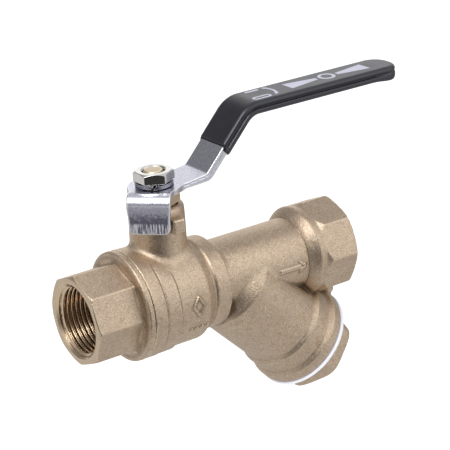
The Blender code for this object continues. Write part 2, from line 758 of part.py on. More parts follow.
def build_lever_sleeve(black):
    """A dipped grip: a closed skin round the arm, open only where the arm enters it."""
    tip_x = STEEL_END_X + GRIP_FIT + GRIP_WALL + GRIP_TIP_EXTRA
    outer_half = ARM_HALF_WIDTH + GRIP_FIT + GRIP_WALL
    outer_top = lever_line(GRIP_FIT + GRIP_WALL, tip_x)
    full = FLANGE_DEPTH + 2 * (GRIP_FIT + GRIP_WALL)

    def outer_depth(x):
        return full - (FLANGE_DEPTH - arm_depth(x))

    def inner_depth(x):
        return arm_depth(x) + 2 * GRIP_FIT

    sleeve = side_slab("lever_sleeve", outer_top, outer_depth, outer_half, PARTS)
    corner_r = ARM_CORNER_R + GRIP_FIT + GRIP_WALL
    trim = rounded_end("grip_plan", GRIP_START_X, tip_x, outer_half, corner_r, 0, ARM_CUT_TOP_Z)
    combine(sleeve, trim, "INTERSECT")
    pocket_half = ARM_HALF_WIDTH + GRIP_FIT
    pocket_end = STEEL_END_X + GRIP_FIT
    pocket = side_slab("grip_pocket", lever_line(GRIP_FIT, pocket_end), inner_depth, pocket_half)
    pocket_corner = ARM_CORNER_R + GRIP_FIT
    pocket_plan = rounded_end(
        "grip_pocket_plan", 0, pocket_end, pocket_half, pocket_corner, 0, ARM_CUT_TOP_Z
    )
    combine(pocket, pocket_plan, "INTERSECT")
    combine(sleeve, pocket, "DIFFERENCE")
    return shade(sleeve, black)


def build_spring_washer(zinc):
    low, high = WASHER_Z
    inner_r = STEM_NECK_R + GAP
    outline = [(WASHER_R, high), (WASHER_R, low), (inner_r, low), (inner_r, high)]
    washer = turned("spring_washer", outline, collection=PARTS, steps=SMALL_TURN_STEPS, ring=True)
    half_split = 0.6 * MM
    reach = WASHER_R + OVERRUN
    lean = 0.8 * MM
    split = [(-half_split - lean, low - lean), (half_split - lean, low - lean)]
    split += [(half_split + lean, high + lean), (-half_split + lean, high + lean)]
    centre_r = reach / 2 + 1 * MM
    side = Matrix.Rotation(math.radians(-125), 4, "Z") @ Matrix.Translation((centre_r, 0, 0))
    stand = Matrix.Rotation(math.pi / 2, 4, "Z") @ Matrix.Rotation(math.pi / 2, 4, "X")
    combine(washer, slab("washer_split", split, reach / 2, side @ stand), "DIFFERENCE")
    return shade(washer, zinc)


def build_lever_nut(chrome):
    low, high = NUT_Z
    chamfer = 0.8 * MM
    face_r = NUT_CORNER_R - 1.2 * MM
    wide = NUT_CORNER_R + 1 * MM
    drop = chamfer * (wide - face_r) / (NUT_CORNER_R - face_r)
    below = low - 1 * MM
    turn = math.radians(30)
    nut = polygon_bar("lever_nut", 6, NUT_CORNER_R, low, high, turn=turn, collection=PARTS)
    envelope = [(0, high), (face_r, high), (wide, high - drop), (wide, below), (0, below)]
    combine(nut, turned("nut_envelope", envelope), "INTERSECT")
    hole_r = STEM_THREAD_R + GAP
    reach = 1 * MM
    hole = [(0, high + reach), (hole_r, high + reach), (hole_r, low - reach), (0, low - reach)]
    combine(nut, turned("nut_hole", hole, steps=SMALL_TURN_STEPS), "DIFFERENCE")
    return shade(nut, chrome)


# ---------------------------------------------------------------- strainer


def build_strainer_screen(steel):
    """A rolled tube open at both ends, with rows of holes drilled right across it."""
    inner_r = SCREEN_R - SCREEN_WALL
    outline = [(SCREEN_R, SCREEN_END), (SCREEN_R, SCREEN_SEAT + GAP)]
    outline += [(inner_r, SCREEN_SEAT + GAP), (inner_r, SCREEN_END)]
    screen = turned("strainer_screen", outline, ALONG_BRANCH, PARTS, SMALL_TURN_STEPS, ring=True)
    hole_r = 1.8 * MM
    rows, drills = 5, 4
    first, pitch = 9.5 * MM, 6.4 * MM
    seam_turn = 0.05
    for row in range(rows):
        for drill in range(drills):
            angle = math.pi * (drill + 0.5 * (row % 2)) / drills + seam_turn
            axis = Matrix.Translation((0, 0, first + row * pitch)) @ Matrix.Rotation(angle, 4, "Z")
            across = ALONG_BRANCH @ axis @ Matrix.Rotation(math.pi / 2, 4, "Y")
            reach = SCREEN_R + OVERRUN
            name = f"screen_drill_{row}_{drill}"
            combine(screen, polygon_bar(name, 6, hole_r, -reach, reach, across), "DIFFERENCE")
    return shade(screen, steel)


def build_strainer_plug(brass):
    """Hexagon head with a hollow threaded spigot, which holds the screen's lower end."""
    head_start = BRANCH_END + GASKET_T + 2 * GAP
    face_r = PLUG_CORNER_R - 1.6 * MM
    wide = PLUG_CORNER_R + 1 * MM
    slope = 1.6 * MM
    plug = polygon_bar(
        "strainer_plug", 6, PLUG_CORNER_R, head_start, PLUG_END, ALONG_BRANCH,
        turn=math.radians(-133), collection=PARTS,
    )
    low = head_start - 1 * MM
    envelope = [(0, PLUG_END), (face_r, PLUG_END), (wide, PLUG_END - slope), (wide, low), (0, low)]
    combine(plug, turned("plug_envelope", envelope, ALONG_BRANCH), "INTERSECT")
    overlap = head_start + 2 * MM
    spigot = [(0, overlap), (PLUG_THREAD_R, overlap), (PLUG_THREAD_R, PLUG_THREAD_START)]
    combine(plug, turned("plug_spigot", [*spigot, (0, PLUG_THREAD_START)], ALONG_BRANCH), "UNION")
    socket_r = SCREEN_R + GAP
    socket_end = SCREEN_END + GAP
    hollow_r = SCREEN_R - 1.6 * MM
    hollow_end = 56 * MM
    socket = [(0, hollow_end), (hollow_r, hollow_end), (hollow_r, socket_end), (socket_r, socket_end)]
    socket += [(socket_r, PLUG_THREAD_START - OVERRUN), (0, PLUG_THREAD_START - OVERRUN)]
    combine(plug, turned("plug_socket", socket, ALONG_BRANCH), "DIFFERENCE")
    return shade(plug, brass)


def hang_from_stem_top():
    """Parents every piece and cutter to an empty that brings the stem's top face to the origin."""
    datum = place("stem_top_datum", None, Matrix.Translation((0, 0, -STEM_TOP_Z)), PARTS)
    for obj in [*PARTS.objects, *CUTTERS.objects]:
        if obj is not datum:
            obj.parent = datum


def main():
    brass = new_material("forged_brass", (0.52, 0.42, 0.28), 0.42, 0.9)
    machined = new_material("machined_brass", (0.72, 0.56, 0.30), 0.25, 1.0)
    chrome = new_material("chrome", (0.80, 0.81, 0.83), 0.12, 1.0)
    zinc = new_material("zinc_plate", (0.66, 0.68, 0.74), 0.3, 1.0)
    steel = new_material("stainless_mesh", (0.55, 0.56, 0.58), 0.35, 1.0)
    ptfe = new_material("ptfe", (0.86, 0.86, 0.90), 0.5, 0.0)
    rubber = new_material("seal_rubber", (0.03, 0.03, 0.03), 0.6, 0.0)
    black = new_material("black_pvc", (0.02, 0.02, 0.022), 0.35, 0.0)

    build_valve_body(brass)
    build_inlet_end_cap(brass)
    shade(o_ring("end_cap_seal", CAP_SEAL_R, CAP_SEAL_WIRE_R, CAP_SEAL_X, ALONG_X), rubber)
    build_ball(chrome)
    seat_out = turned("seat_ring_outlet", seat_outline(), ALONG_X, PARTS, SMALL_TURN_STEPS, ring=True)
    shade(seat_out, ptfe)
    flipped = Matrix.Rotation(math.pi, 4, "Z") @ ALONG_X
    seat_in = turned("seat_ring_inlet", seat_outline(), flipped, PARTS, SMALL_TURN_STEPS, ring=True)
    shade(seat_in, ptfe)

    build_stem(machined)
    guide_r = STEM_R + GAP
    low, high = STEM_COLLAR_Z[1] + GAP, SHOULDER_Z - GAP
    build_flat_ring("stem_thrust_washer", guide_r, STEM_COLLAR_R, low, high, ptfe)
    shade(o_ring("stem_o_ring", O_RING_R, O_RING_WIRE_R, O_RING_Z, UPRIGHT), rubber)
    ring_height = 2.1 * MM
    first = PACKING_FLOOR_Z + GAP
    second = first + ring_height + GAP
    build_flat_ring("packing_ring_lower", guide_r, PACKING_R, first, first + ring_height, ptfe)
    build_flat_ring("packing_ring_upper", guide_r, PACKING_R, second, second + ring_height, ptfe)
    build_gland_nut(machined)

    build_lever(zinc)
    build_lever_sleeve(black)
    build_spring_washer(zinc)
    build_lever_nut(chrome)

    build_strainer_screen(steel)
    gasket_start = BRANCH_END + GAP
    gasket_end = gasket_start + GASKET_T
    inner_r = PLUG_THREAD_R + GAP
    build_flat_ring("plug_gasket", inner_r, GASKET_R, gasket_start, gasket_end, ptfe, ALONG_BRANCH)
    build_strainer_plug(brass)
    hang_from_stem_top()


main()
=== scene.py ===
import json
import math

import bpy
import numpy as np
from mathutils import Matrix, Vector


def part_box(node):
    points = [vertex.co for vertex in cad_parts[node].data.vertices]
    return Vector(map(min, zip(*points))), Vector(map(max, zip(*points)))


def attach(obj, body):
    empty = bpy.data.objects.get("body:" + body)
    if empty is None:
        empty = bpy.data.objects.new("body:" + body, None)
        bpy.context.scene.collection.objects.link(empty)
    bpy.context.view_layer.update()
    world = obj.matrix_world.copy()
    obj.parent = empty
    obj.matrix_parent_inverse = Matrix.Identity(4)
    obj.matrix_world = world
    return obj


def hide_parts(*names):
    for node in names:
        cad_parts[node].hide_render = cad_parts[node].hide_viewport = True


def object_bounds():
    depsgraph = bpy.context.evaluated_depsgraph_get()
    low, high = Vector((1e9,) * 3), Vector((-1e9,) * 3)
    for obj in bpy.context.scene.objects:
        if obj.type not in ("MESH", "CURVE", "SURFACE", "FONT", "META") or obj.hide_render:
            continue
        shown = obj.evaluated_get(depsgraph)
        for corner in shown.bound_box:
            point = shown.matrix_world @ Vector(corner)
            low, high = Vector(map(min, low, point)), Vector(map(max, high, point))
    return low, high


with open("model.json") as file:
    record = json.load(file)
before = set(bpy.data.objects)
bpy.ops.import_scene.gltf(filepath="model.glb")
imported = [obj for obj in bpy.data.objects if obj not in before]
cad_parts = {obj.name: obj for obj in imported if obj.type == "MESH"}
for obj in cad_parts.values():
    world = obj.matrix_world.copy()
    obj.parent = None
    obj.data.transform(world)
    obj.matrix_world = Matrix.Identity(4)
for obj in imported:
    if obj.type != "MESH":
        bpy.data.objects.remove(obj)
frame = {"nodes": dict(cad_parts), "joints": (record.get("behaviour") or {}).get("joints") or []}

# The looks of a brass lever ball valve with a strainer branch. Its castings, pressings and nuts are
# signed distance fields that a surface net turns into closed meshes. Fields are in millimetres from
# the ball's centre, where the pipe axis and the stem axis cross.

CAD_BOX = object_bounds()
MM = 0.001
BALL_CENTRE = next(np.array(j["pos_m"]) / MM for j in frame["joints"] if j["name"] == "ball_turn")


def node_box(node):
    """A CAD node's lowest and highest corners, in millimetres from the ball's centre."""
    low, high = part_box(node)
    return np.array(low) / MM - BALL_CENTRE, np.array(high) / MM - BALL_CENTRE


def in_metres(points):
    """Points in millimetres from the ball's centre, moved to the frame's own origin and units."""
    return (np.asarray(points) + BALL_CENTRE) * MM


# ---- places taken from the frame

LEVER_LOW, LEVER_HIGH = node_box("lever")
GRIP_LOW, GRIP_HIGH = node_box("lever_sleeve")
NUT_LOW, NUT_HIGH = node_box("lever_nut")
WASHER_LOW, WASHER_HIGH = node_box("spring_washer")
GLAND_LOW, GLAND_HIGH = node_box("gland_nut")
STEM_TOP = node_box("stem")[1][2]
GASKET_LOW, GASKET_HIGH = node_box("plug_gasket")
BALL_R = node_box("ball")[1][1]
SEAT_LOW, SEAT_HIGH = node_box("seat_ring_outlet")

INLET_X = node_box("inlet_end_cap")[0][0]
OUTLET_X = node_box("valve_body")[1][0]
FLANGE_R = node_box("inlet_end_cap")[1][1]
TOWER_TOP = node_box("valve_body")[1][2]
PLATE_TOP = 42.1
PLATE_T = 2.2
GRIP_TOP = GRIP_HIGH[2]
GASKET_R = GASKET_HIGH[1]
NUT_CORNER = NUT_HIGH[1]

THREAD_PITCH = 1.814
THREAD_MINOR = 12.06
THREAD_DEPTH_R = 1.16
MOUTH_R = 13.75
PORT_R = 9.75
TUBE_R = 13.95
BRANCH_ORIGIN = np.array((25.2, 0, 0))
BRANCH_AXIS = np.array((1, 0, -1)) / math.sqrt(2)
BRANCH_SIDE = np.array((1, 0, 1)) / math.sqrt(2)


# ---- distance fields


def soft_min(a, b, soft):
    share = np.clip(0.5 + 0.5 * (b - a) / soft, 0, 1)
    return b + (a - b) * share - soft * share * (1 - share)


def soft_max(a, b, soft):
    return -soft_min(-a, -b, soft)


def cut(solid, hole, soft=0.3):
    return soft_max(solid, -hole, soft)


def turned(along, radius, outline, blend=0.35, end_round=0.5):
    """A turned solid whose radius follows (along, radius) points, its steps blended over a short way."""
    places = np.array([p[0] for p in outline], float)
    radii = np.array([p[1] for p in outline], float)
    step = 0.05
    grid = np.arange(places[0], places[-1] + step, step)
    table = np.interp(grid, places, radii)
    width = max(int(blend / step), 1)
    kernel = np.ones(width) / width
    for _ in range(2):
        table = np.convolve(np.pad(table, width, mode="edge"), kernel, mode="same")[width:-width]
    slope = np.gradient(table, step)
    here = np.interp(along, grid, table)
    lean = np.interp(along, grid, slope)
    side = (radius - here) / np.sqrt(1 + lean * lean)
    ends = np.maximum(places[0] - along, along - places[-1])
    return soft_max(side, ends, end_round)


def drum(along, radius, low, high, size, soft=0.3):
    """A plain cylinder between two heights."""
    ends = np.maximum(low - along, along - high)
    return soft_max(radius - size, ends, soft)


def prism(a, b, sides, apothem, phase, soft):
    """A regular prism's sides. The first corner is at the phase angle."""
    sector = 2 * math.pi / sides
    angle = np.abs(np.mod(np.arctan2(b, a) - phase, sector) - sector / 2)
    radius = np.hypot(a, b)
    near = radius * np.cos(angle) - apothem
    beside = radius * np.cos(sector - angle) - apothem
    return soft_max(near, beside, soft)


def cone(along, radius, start, end):
    """The outer side of the line from start to end in a turned section, as (along, radius) points."""
    run = np.array(end) - np.array(start)
    run = run / np.linalg.norm(run)
    return (radius - start[1]) * run[0] - (along - start[0]) * run[1]


def thread_radius(along, angle, minor, depth, pitch):
    turn = along / pitch - angle / (2 * math.pi)
    return minor + depth * (0.5 - 0.5 * np.cos(2 * math.pi * turn))


def box(a, b, c, half_a, half_b, half_c, round_r):
    """A box with round edges, about the origin of the three coordinates."""
    qa = np.abs(a) - half_a + round_r
    qb = np.abs(b) - half_b + round_r
    qc = np.abs(c) - half_c + round_r
    outside = np.sqrt(np.maximum(qa, 0) ** 2 + np.maximum(qb, 0) ** 2 + np.maximum(qc, 0) ** 2)
    return outside + np.minimum(np.maximum(np.maximum(qa, qb), qc), 0) - round_r


def branch_coordinates(p):
    q = p - BRANCH_ORIGIN
    along = q @ BRANCH_AXIS
    side = q @ BRANCH_SIDE
    return along, np.hypot(side, q[:, 1]), np.arctan2(q[:, 1], side)


def bent_path(corners, radii, points=12):
    """Corners in a plane joined by straight runs and arcs."""
    line = [np.array(corners[0], float)]
    for before, corner, after, radius in zip(corners, corners[1:], corners[2:], radii):
        corner = np.array(corner, float)
        back = np.array(before) - corner
        ahead = np.array(after) - corner
        back, ahead = back / np.linalg.norm(back), ahead / np.linalg.norm(ahead)
        half = math.acos(np.clip(back @ ahead, -1, 1)) / 2
        centre = corner + (back + ahead) / np.linalg.norm(back + ahead) * radius / math.sin(half)
        start = corner + back * radius / math.tan(half) - centre
        end = corner + ahead * radius / math.tan(half) - centre
        for share in np.linspace(0, 1, points):
            point = start * (1 - share) + end * share
            line.append(centre + point / np.linalg.norm(point) * radius)
    line.append(np.array(corners[-1], float))
    return np.array(line)


def below_path(a, b, path):
    """Depth below a path that runs along +a: positive under it. Also how far along it a point is."""
    best = np.full(len(a), 1e9)
    depth = np.zeros(len(a))
    along = np.zeros(len(a))
    run = 0.0
    last = len(path) - 2
    for i in range(len(path) - 1):
        start, way = path[i], path[i + 1] - path[i]
        length = np.linalg.norm(way)
        way = way / length
        da, db = a - start[0], b - start[1]
        share = da * way[0] + db * way[1]
        low = -1e9 if i == 0 else 0
        high = 1e9 if i == last else length
        held = np.clip(share, low, high)
        distance = np.hypot(da - way[0] * held, db - way[1] * held)
        sign = np.where(da * way[1] - db * way[0] > 0, 1, -1)
        closer = distance < best
        best = np.where(closer, distance, best)
        depth = np.where(closer, distance * sign, depth)
        along = np.where(closer, run + held, along)
        run += length
    return depth, along


# ---- from a field to a mesh


def sample(field, low, counts, cell, block=8):
    """The field on a grid. Blocks of the grid that are far from the surface hold one value each."""
    blocks = [-(-n // block) for n in counts]
    middles = [low[i] + (np.arange(blocks[i]) * block + (block - 1) / 2) * cell for i in range(3)]
    centres = np.stack(np.meshgrid(*middles, indexing="ij"), -1).reshape(-1, 3)
    rough = field(centres)
    values = np.repeat(rough, block**3).reshape(-1, block**3)
    steps = (np.arange(block) - (block - 1) / 2) * cell
    offsets = np.stack(np.meshgrid(steps, steps, steps, indexing="ij"), -1).reshape(-1, 3)
    near = np.flatnonzero(np.abs(rough) < block * cell * 1.1)
    for chunk in np.array_split(near, max(1, len(near) // 400)):
        points = (centres[chunk][:, None] + offsets).reshape(-1, 3)
        values[chunk] = field(points).reshape(len(chunk), -1)
    values = values.reshape(*blocks, block, block, block).transpose(0, 3, 1, 4, 2, 5)
    return values.reshape([n * block for n in blocks])


def surface_net(values):
    """Points in grid units, and four-sided faces that point out, where the values change sign."""
    inside = values < 0
    low, high = slice(None, -1), slice(1, None)
    corner_sets = [inside[a, b, c] for a in (low, high) for b in (low, high) for c in (low, high)]
    count = np.sum(corner_sets, axis=0, dtype=np.int8)
    mixed = (count > 0) & (count < 8)
    cells = np.argwhere(mixed)
    index = np.full(mixed.shape, -1, np.int64)
    index[mixed] = np.arange(len(cells))
    total = np.zeros((len(cells), 3))
    crossings = np.zeros(len(cells))
    quads = []
    for axis in range(3):
        first, second = (axis + 1) % 3, (axis + 2) % 3
        for u in (0, 1):
            for v in (0, 1):
                start = cells.copy()
                start[:, first] += u
                start[:, second] += v
                end = start.copy()
                end[:, axis] += 1
                a, b = values[tuple(start.T)], values[tuple(end.T)]
                crossed = (a < 0) != (b < 0)
                point = start[crossed].astype(float)
                point[:, axis] += a[crossed] / (a[crossed] - b[crossed])
                total[crossed] += point
                crossings[crossed] += 1
        before, after = [slice(None)] * 3, [slice(None)] * 3
        before[axis], after[axis] = low, high
        edges = np.argwhere(inside[tuple(before)] != inside[tuple(after)])
        outward = inside[tuple(edges.T)]
        ring = []
        for u, v in ((1, 1), (0, 1), (0, 0), (1, 0)):
            cell = edges.copy()
            cell[:, first] -= u
            cell[:, second] -= v
            ring.append(index[tuple(cell.T)])
        ring = np.stack(ring, -1)
        quads.append(np.where(outward[:, None], ring, ring[:, ::-1]))
    return total / crossings[:, None], np.concatenate(quads)


def slopes(field, points, reach=0.02):
    ways = np.eye(3) * reach
    return np.stack([field(points + way) - field(points - way) for way in ways], -1) / (2 * reach)


def onto_surface(field, points, cell, rounds):
    for _ in range(rounds):
        slope = slopes(field, points)
        size = np.maximum((slope * slope).sum(1), 0.05)
        move = np.clip(field(points) / size, -cell, cell)
        points = points - move[:, None] * slope
    return points


def relaxed(points, quads, slope):
    """Points eased towards the mean of their neighbours, along the surface only."""
    total = np.zeros_like(points)
    count = np.zeros(len(points))
    for i in range(4):
        a, b = quads[:, i], quads[:, (i + 1) % 4]
        for from_end, to_end in ((a, b), (b, a)):
            for axis in range(3):
                total[:, axis] += np.bincount(to_end, points[from_end, axis], len(points))
            count += np.bincount(to_end, minlength=len(points))
    move = total / count[:, None] - points
    normal = slope / np.maximum(np.linalg.norm(slope, axis=1), 1e-6)[:, None]
    move -= (move * normal).sum(1)[:, None] * normal
    return points + 0.6 * move


def edge_curve(field, points, reach):
    """How sharply the surface bends at each point, in 1/mm: positive on edges, negative in corners."""
    ways = np.eye(3) * reach
    around = sum(field(points + way) + field(points - way) for way in ways)
    return (around - 6 * field(points)) / reach**2


def add_attribute(mesh, name, values):
    attribute = mesh.attributes.new(name, "FLOAT", "POINT")
    attribute.data.foreach_set("value", np.asarray(values, np.float32))


def sculpt(name, field, low, high, cell, material, machined=None):
    """A closed mesh of a field, with attributes for its edges and hollows, which place wear and painted
    shade, and one that says where it is machined or, on the lever, how far down the tab a point is.
    """
    margin = 2 * cell
    low = np.asarray(low, float) - margin
    counts = np.ceil((np.asarray(high) + margin - low) / cell).astype(int) + 1
    points, quads = surface_net(sample(field, low, counts, cell))
    points = onto_surface(field, low + points * cell, cell, 4)
    for _ in range(2):
        points = relaxed(points, quads, slopes(field, points))
        points = onto_surface(field, points, cell, 2)
    normals = slopes(field, points)
    normals /= np.maximum(np.linalg.norm(normals, axis=1), 1e-6)[:, None]

    mesh = bpy.data.meshes.new(name)
    mesh.vertices.add(len(points))
    mesh.vertices.foreach_set("co", in_metres(points).astype(np.float32).ravel())
    mesh.loops.add(quads.size)
    mesh.loops.foreach_set("vertex_index", quads.astype(np.int32).ravel())
    mesh.polygons.add(len(quads))
    mesh.polygons.foreach_set("loop_start", np.arange(0, quads.size, 4, dtype=np.int32))
    mesh.update(calc_edges=True)
    mesh.shade_smooth()
    mesh.normals_split_custom_set_from_vertices(normals.tolist())
    add_attribute(mesh, "edge", edge_curve(field, points, 0.5))
    add_attribute(mesh, "hollow", edge_curve(field, points, 3.6))
    add_attribute(mesh, "machined", machined(points) if machined else np.zeros(len(points)))
    mesh.materials.append(material)
    obj = bpy.data.objects.new(name, mesh)
    bpy.context.scene.collection.objects.link(obj)
    return obj


def belongs(obj, body, slot, *nodes):
    """The piece rides on its body and stands for these CAD nodes. The slot argument is not used."""
    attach(obj, body)
    if nodes:
        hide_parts(*nodes)


def piece(name, node, body, slot, field, cell, material, machined=None, span=None):
    """Sculpts the piece that stands for a CAD node, inside that node's box or a given span."""
    low, high = span or node_box(node)
    belongs(sculpt(name, field, low, high, cell, material, machined), body, slot, node)


# ---- materials


def add_node(tree, kind, inputs=None, **settings):
    node = tree.nodes.new("ShaderNode" + kind)
    for key, value in settings.items():
        setattr(node, key, value)
    for key, value in (inputs or {}).items():
        if isinstance(value, bpy.types.NodeSocket):
            tree.links.new(value, node.inputs[key])
        else:
            node.inputs[key].default_value = value
    return node


def maths(tree, operation, a, b=0.0, c=0.0, clamp=False):
    node = add_node(tree, "Math", {0: a, 1: b, 2: c}, operation=operation, use_clamp=clamp)
    return node.outputs[0]


def scaled(tree, value, factor, offset, clamp=False):
    return maths(tree, "MULTIPLY_ADD", value, factor, offset, clamp)


def product(tree, a, b):
    return maths(tree, "MULTIPLY", a, b)


def ramp(tree, value, low, high):
    """0 up to low, 1 from high on, smooth between."""
    inputs = {"Value": value, "From Min": low, "From Max": high}
    node = add_node(tree, "MapRange", inputs, interpolation_type="SMOOTHSTEP")
    return node.outputs[0]


def mixed(tree, share, a, b):
    node = add_node(tree, "Mix", data_type="RGBA")
    for socket, value in ((node.inputs[0], share), (node.inputs[6], a), (node.inputs[7], b)):
        if isinstance(value, bpy.types.NodeSocket):
            tree.links.new(value, socket)
        else:
            socket.default_value = value if isinstance(value, float) else (*value, 1)
    return node.outputs[2]


def tinted(tree, value, low, high, base, colour):
    """The base colour, turning to another one where the value goes from low to high."""
    return mixed(tree, ramp(tree, value, low, high), base, colour)


def noise(tree, coordinates, size, detail=2.0, roughness=0.5):
    """Noise whose lumps are about size millimetres across."""
    inputs = {"Vector": coordinates, "Scale": 1 / (size * MM), "Detail": detail, "Roughness": roughness}
    return add_node(tree, "TexNoise", inputs).outputs[0]


def stretched(tree, coordinates, scale, rotation=(0, 0, 0)):
    inputs = {"Vector": coordinates, "Scale": scale, "Rotation": rotation}
    return add_node(tree, "Mapping", inputs).outputs[0]


def bump(tree, height, depth, normal=None):
    """Bumps of this height value, depth millimetres deep where it is 1."""
    inputs = {"Height": height, "Distance": depth * MM, "Strength": 1.0}
    if normal is not None:
        inputs["Normal"] = normal
    return add_node(tree, "Bump", inputs).outputs[0]


def new_material(name, metallic):
    material = bpy.data.materials.new(name)
    material.use_nodes = True
    tree = material.node_tree
    shader = tree.nodes["Principled BSDF"]
    shader.inputs["Metallic"].default_value = metallic
    coordinates = add_node(tree, "TexCoord").outputs["Object"]
    return material, tree, shader, coordinates


def connect(tree, shader, **sockets):
    names = {"colour": "Base Color", "roughness": "Roughness", "normal": "Normal"}
    for key, socket in sockets.items():
        tree.links.new(socket, shader.inputs[names[key]])


def attribute(tree, name):
    return add_node(tree, "Attribute", attribute_name=name).outputs["Fac"]


def forged_brass():
    """Grit-blasted forging: matt tan skin with painted shade in its corners and hollows, polished on worn
    edges and cut faces.
    """
    material, tree, shader, at = new_material("forged_brass_look", 1.0)
    edge, machined = attribute(tree, "edge"), attribute(tree, "machined")
    patches = noise(tree, at, 14, 3)
    blotches = noise(tree, at, 2.2, 4, 0.6)
    grit = noise(tree, at, 0.42, 3, 0.65)
    pits = noise(tree, at, 0.9, 2)

    skin = mixed(tree, ramp(tree, patches, 0.38, 0.64), (0.60, 0.465, 0.355), (0.64, 0.51, 0.375))
    skin = tinted(tree, blotches, 0.42, 0.70, skin, (0.54, 0.41, 0.29))
    skin = tinted(tree, grit, 0.50, 0.70, skin, (0.84, 0.71, 0.56))
    skin = tinted(tree, grit, 0.47, 0.28, skin, (0.34, 0.25, 0.165))
    worn = product(tree, ramp(tree, edge, 0.35, 1.3), ramp(tree, blotches, 0.3, 0.5))
    # Painted shade: the skin is darkened towards dark brown in tight corners (edge below zero) and in broad
    # hollows.
    painted_corner_shade = ramp(tree, edge, -0.2, -1.3)
    shade = ramp(tree, attribute(tree, "hollow"), 0.03, -0.28)
    skin = mixed(tree, worn, skin, (0.74, 0.61, 0.45))
    skin = mixed(tree, product(tree, painted_corner_shade, 0.5), skin, (0.20, 0.14, 0.08))
    skin = mixed(tree, product(tree, shade, 0.78), skin, (0.20, 0.145, 0.09))
    colour = mixed(tree, machined, skin, (0.74, 0.58, 0.41))

    rough = scaled(tree, grit, 0.22, 0.32)
    rough = scaled(tree, worn, -0.16, rough)
    rough = scaled(tree, machined, -0.24, rough, clamp=True)
    skin_share = scaled(tree, machined, -0.85, 1.0)
    fine = product(tree, grit, skin_share)
    deep = product(tree, pits, skin_share)
    normal = bump(tree, fine, 0.11, bump(tree, deep, 0.10))
    connect(tree, shader, colour=colour, roughness=rough, normal=normal)
    return material


def turned_brass():
    """Machined brass: yellow, smooth, with fine tool marks and painted shade in its corners."""
    material, tree, shader, at = new_material("turned_brass_look", 1.0)
    edge = attribute(tree, "edge")
    marks = noise(tree, stretched(tree, at, (1, 1, 9)), 1.6, 2)
    smears = noise(tree, at, 3, 3)
    base = mixed(tree, smears, (0.70, 0.58, 0.43), (0.60, 0.48, 0.33))
    base = tinted(tree, edge, 0.4, 1.6, base, (0.86, 0.74, 0.56))
    # Painted shade: the colour turns dark brown in the corners.
    base = tinted(tree, edge, -0.2, -1.2, base, (0.27, 0.19, 0.10))
    rough = scaled(tree, smears, 0.25, 0.24)
    connect(tree, shader, colour=base, roughness=rough, normal=bump(tree, marks, 0.02))
    return material


def zinc_plate():
    """Zinc-plated pressed steel: cool, speckled, with scratches down the worn tab and a mottled painted
    dark reflection over the tab.
    """
    material, tree, shader, at = new_material("zinc_plate_look", 1.0)
    # On the lever the 'machined' attribute holds how far down the tab a point is: it places the scratches
    # and the painted dark reflection.
    edge, down_tab = attribute(tree, "edge"), attribute(tree, "machined")
    scratched = ramp(tree, down_tab, 0.60, 0.70)
    speckle = noise(tree, at, 0.5, 3, 0.7)
    clouds = noise(tree, at, 9, 3)
    across = stretched(tree, at, (1, 1, 0.10), (0, math.radians(9), math.radians(45)))
    lines = noise(tree, across, 0.55, 2, 0.6)
    base = mixed(tree, clouds, (0.62, 0.62, 0.72), (0.70, 0.70, 0.79))
    base = tinted(tree, speckle, 0.52, 0.72, base, (0.90, 0.90, 0.96))
    base = tinted(tree, speckle, 0.45, 0.28, base, (0.33, 0.33, 0.42))
    # Painted dark reflection: a mottled blue-black band covers the tab from just below its bend to its
    # bottom edge.
    mottle = noise(tree, at, 1.0, 5, 0.8)
    painted_dark_reflection = scaled(tree, maths(tree, "SUBTRACT", mottle, 0.5), 1.4, down_tab)
    painted_dark_reflection = product(tree, ramp(tree, painted_dark_reflection, 0.20, 0.58), ramp(tree, down_tab, 0.08, 0.2))
    painted_dark_reflection = product(tree, painted_dark_reflection, 0.9)
    base = mixed(tree, painted_dark_reflection, base, (0.17, 0.17, 0.24))
    scores = product(tree, ramp(tree, lines, 0.45, 0.58), scratched)
    base = mixed(tree, scores, base, (0.86, 0.86, 0.92))
    base = tinted(tree, edge, 0.35, 1.2, base, (0.90, 0.91, 0.95))
    rough = scaled(tree, speckle, 0.20, 0.12)
    rough = scaled(tree, ramp(tree, down_tab, 0.0, 0.1), 0.36, rough)
    rough = scaled(tree, scores, 0.15, rough)
    normal = bump(tree, speckle, 0.04, bump(tree, scores, 0.10))
    connect(tree, shader, colour=base, roughness=rough, normal=normal)
    return material


def nickel():
    """Bright plating on the nut and the ball: a mirror with faint orange peel, specks and painted shade in
    its corners.
    """
    material, tree, shader, at = new_material("bright_nickel_look", 1.0)
    edge = attribute(tree, "edge")
    peel = noise(tree, at, 1.1, 3)
    specks = noise(tree, at, 0.4, 3, 0.7)
    base = mixed(tree, peel, (0.76, 0.74, 0.71), (0.84, 0.83, 0.80))
    base = tinted(tree, specks, 0.60, 0.75, base, (0.95, 0.95, 0.94))
    # Painted shade: the colour turns dark in the corners.
    base = tinted(tree, edge, -0.3, -1.4, base, (0.30, 0.28, 0.25))
    rough = scaled(tree, specks, 0.14, 0.05)
    connect(tree, shader, colour=base, roughness=rough, normal=bump(tree, peel, 0.012))
    return material


def spring_steel():
    """Hardened washer steel: darker than the plated parts, with a thin bright skin worn through."""
    material, tree, shader, at = new_material("spring_steel_look", 1.0)
    edge = attribute(tree, "edge")
    specks = noise(tree, at, 0.4, 3, 0.7)
    base = mixed(tree, ramp(tree, specks, 0.35, 0.7), (0.24, 0.24, 0.28), (0.46, 0.46, 0.52))
    base = tinted(tree, edge, 2.0, 5.0, base, (0.62, 0.62, 0.68))
    rough = scaled(tree, specks, 0.2, 0.14)
    connect(tree, shader, colour=base, roughness=rough, normal=bump(tree, specks, 0.02))
    return material


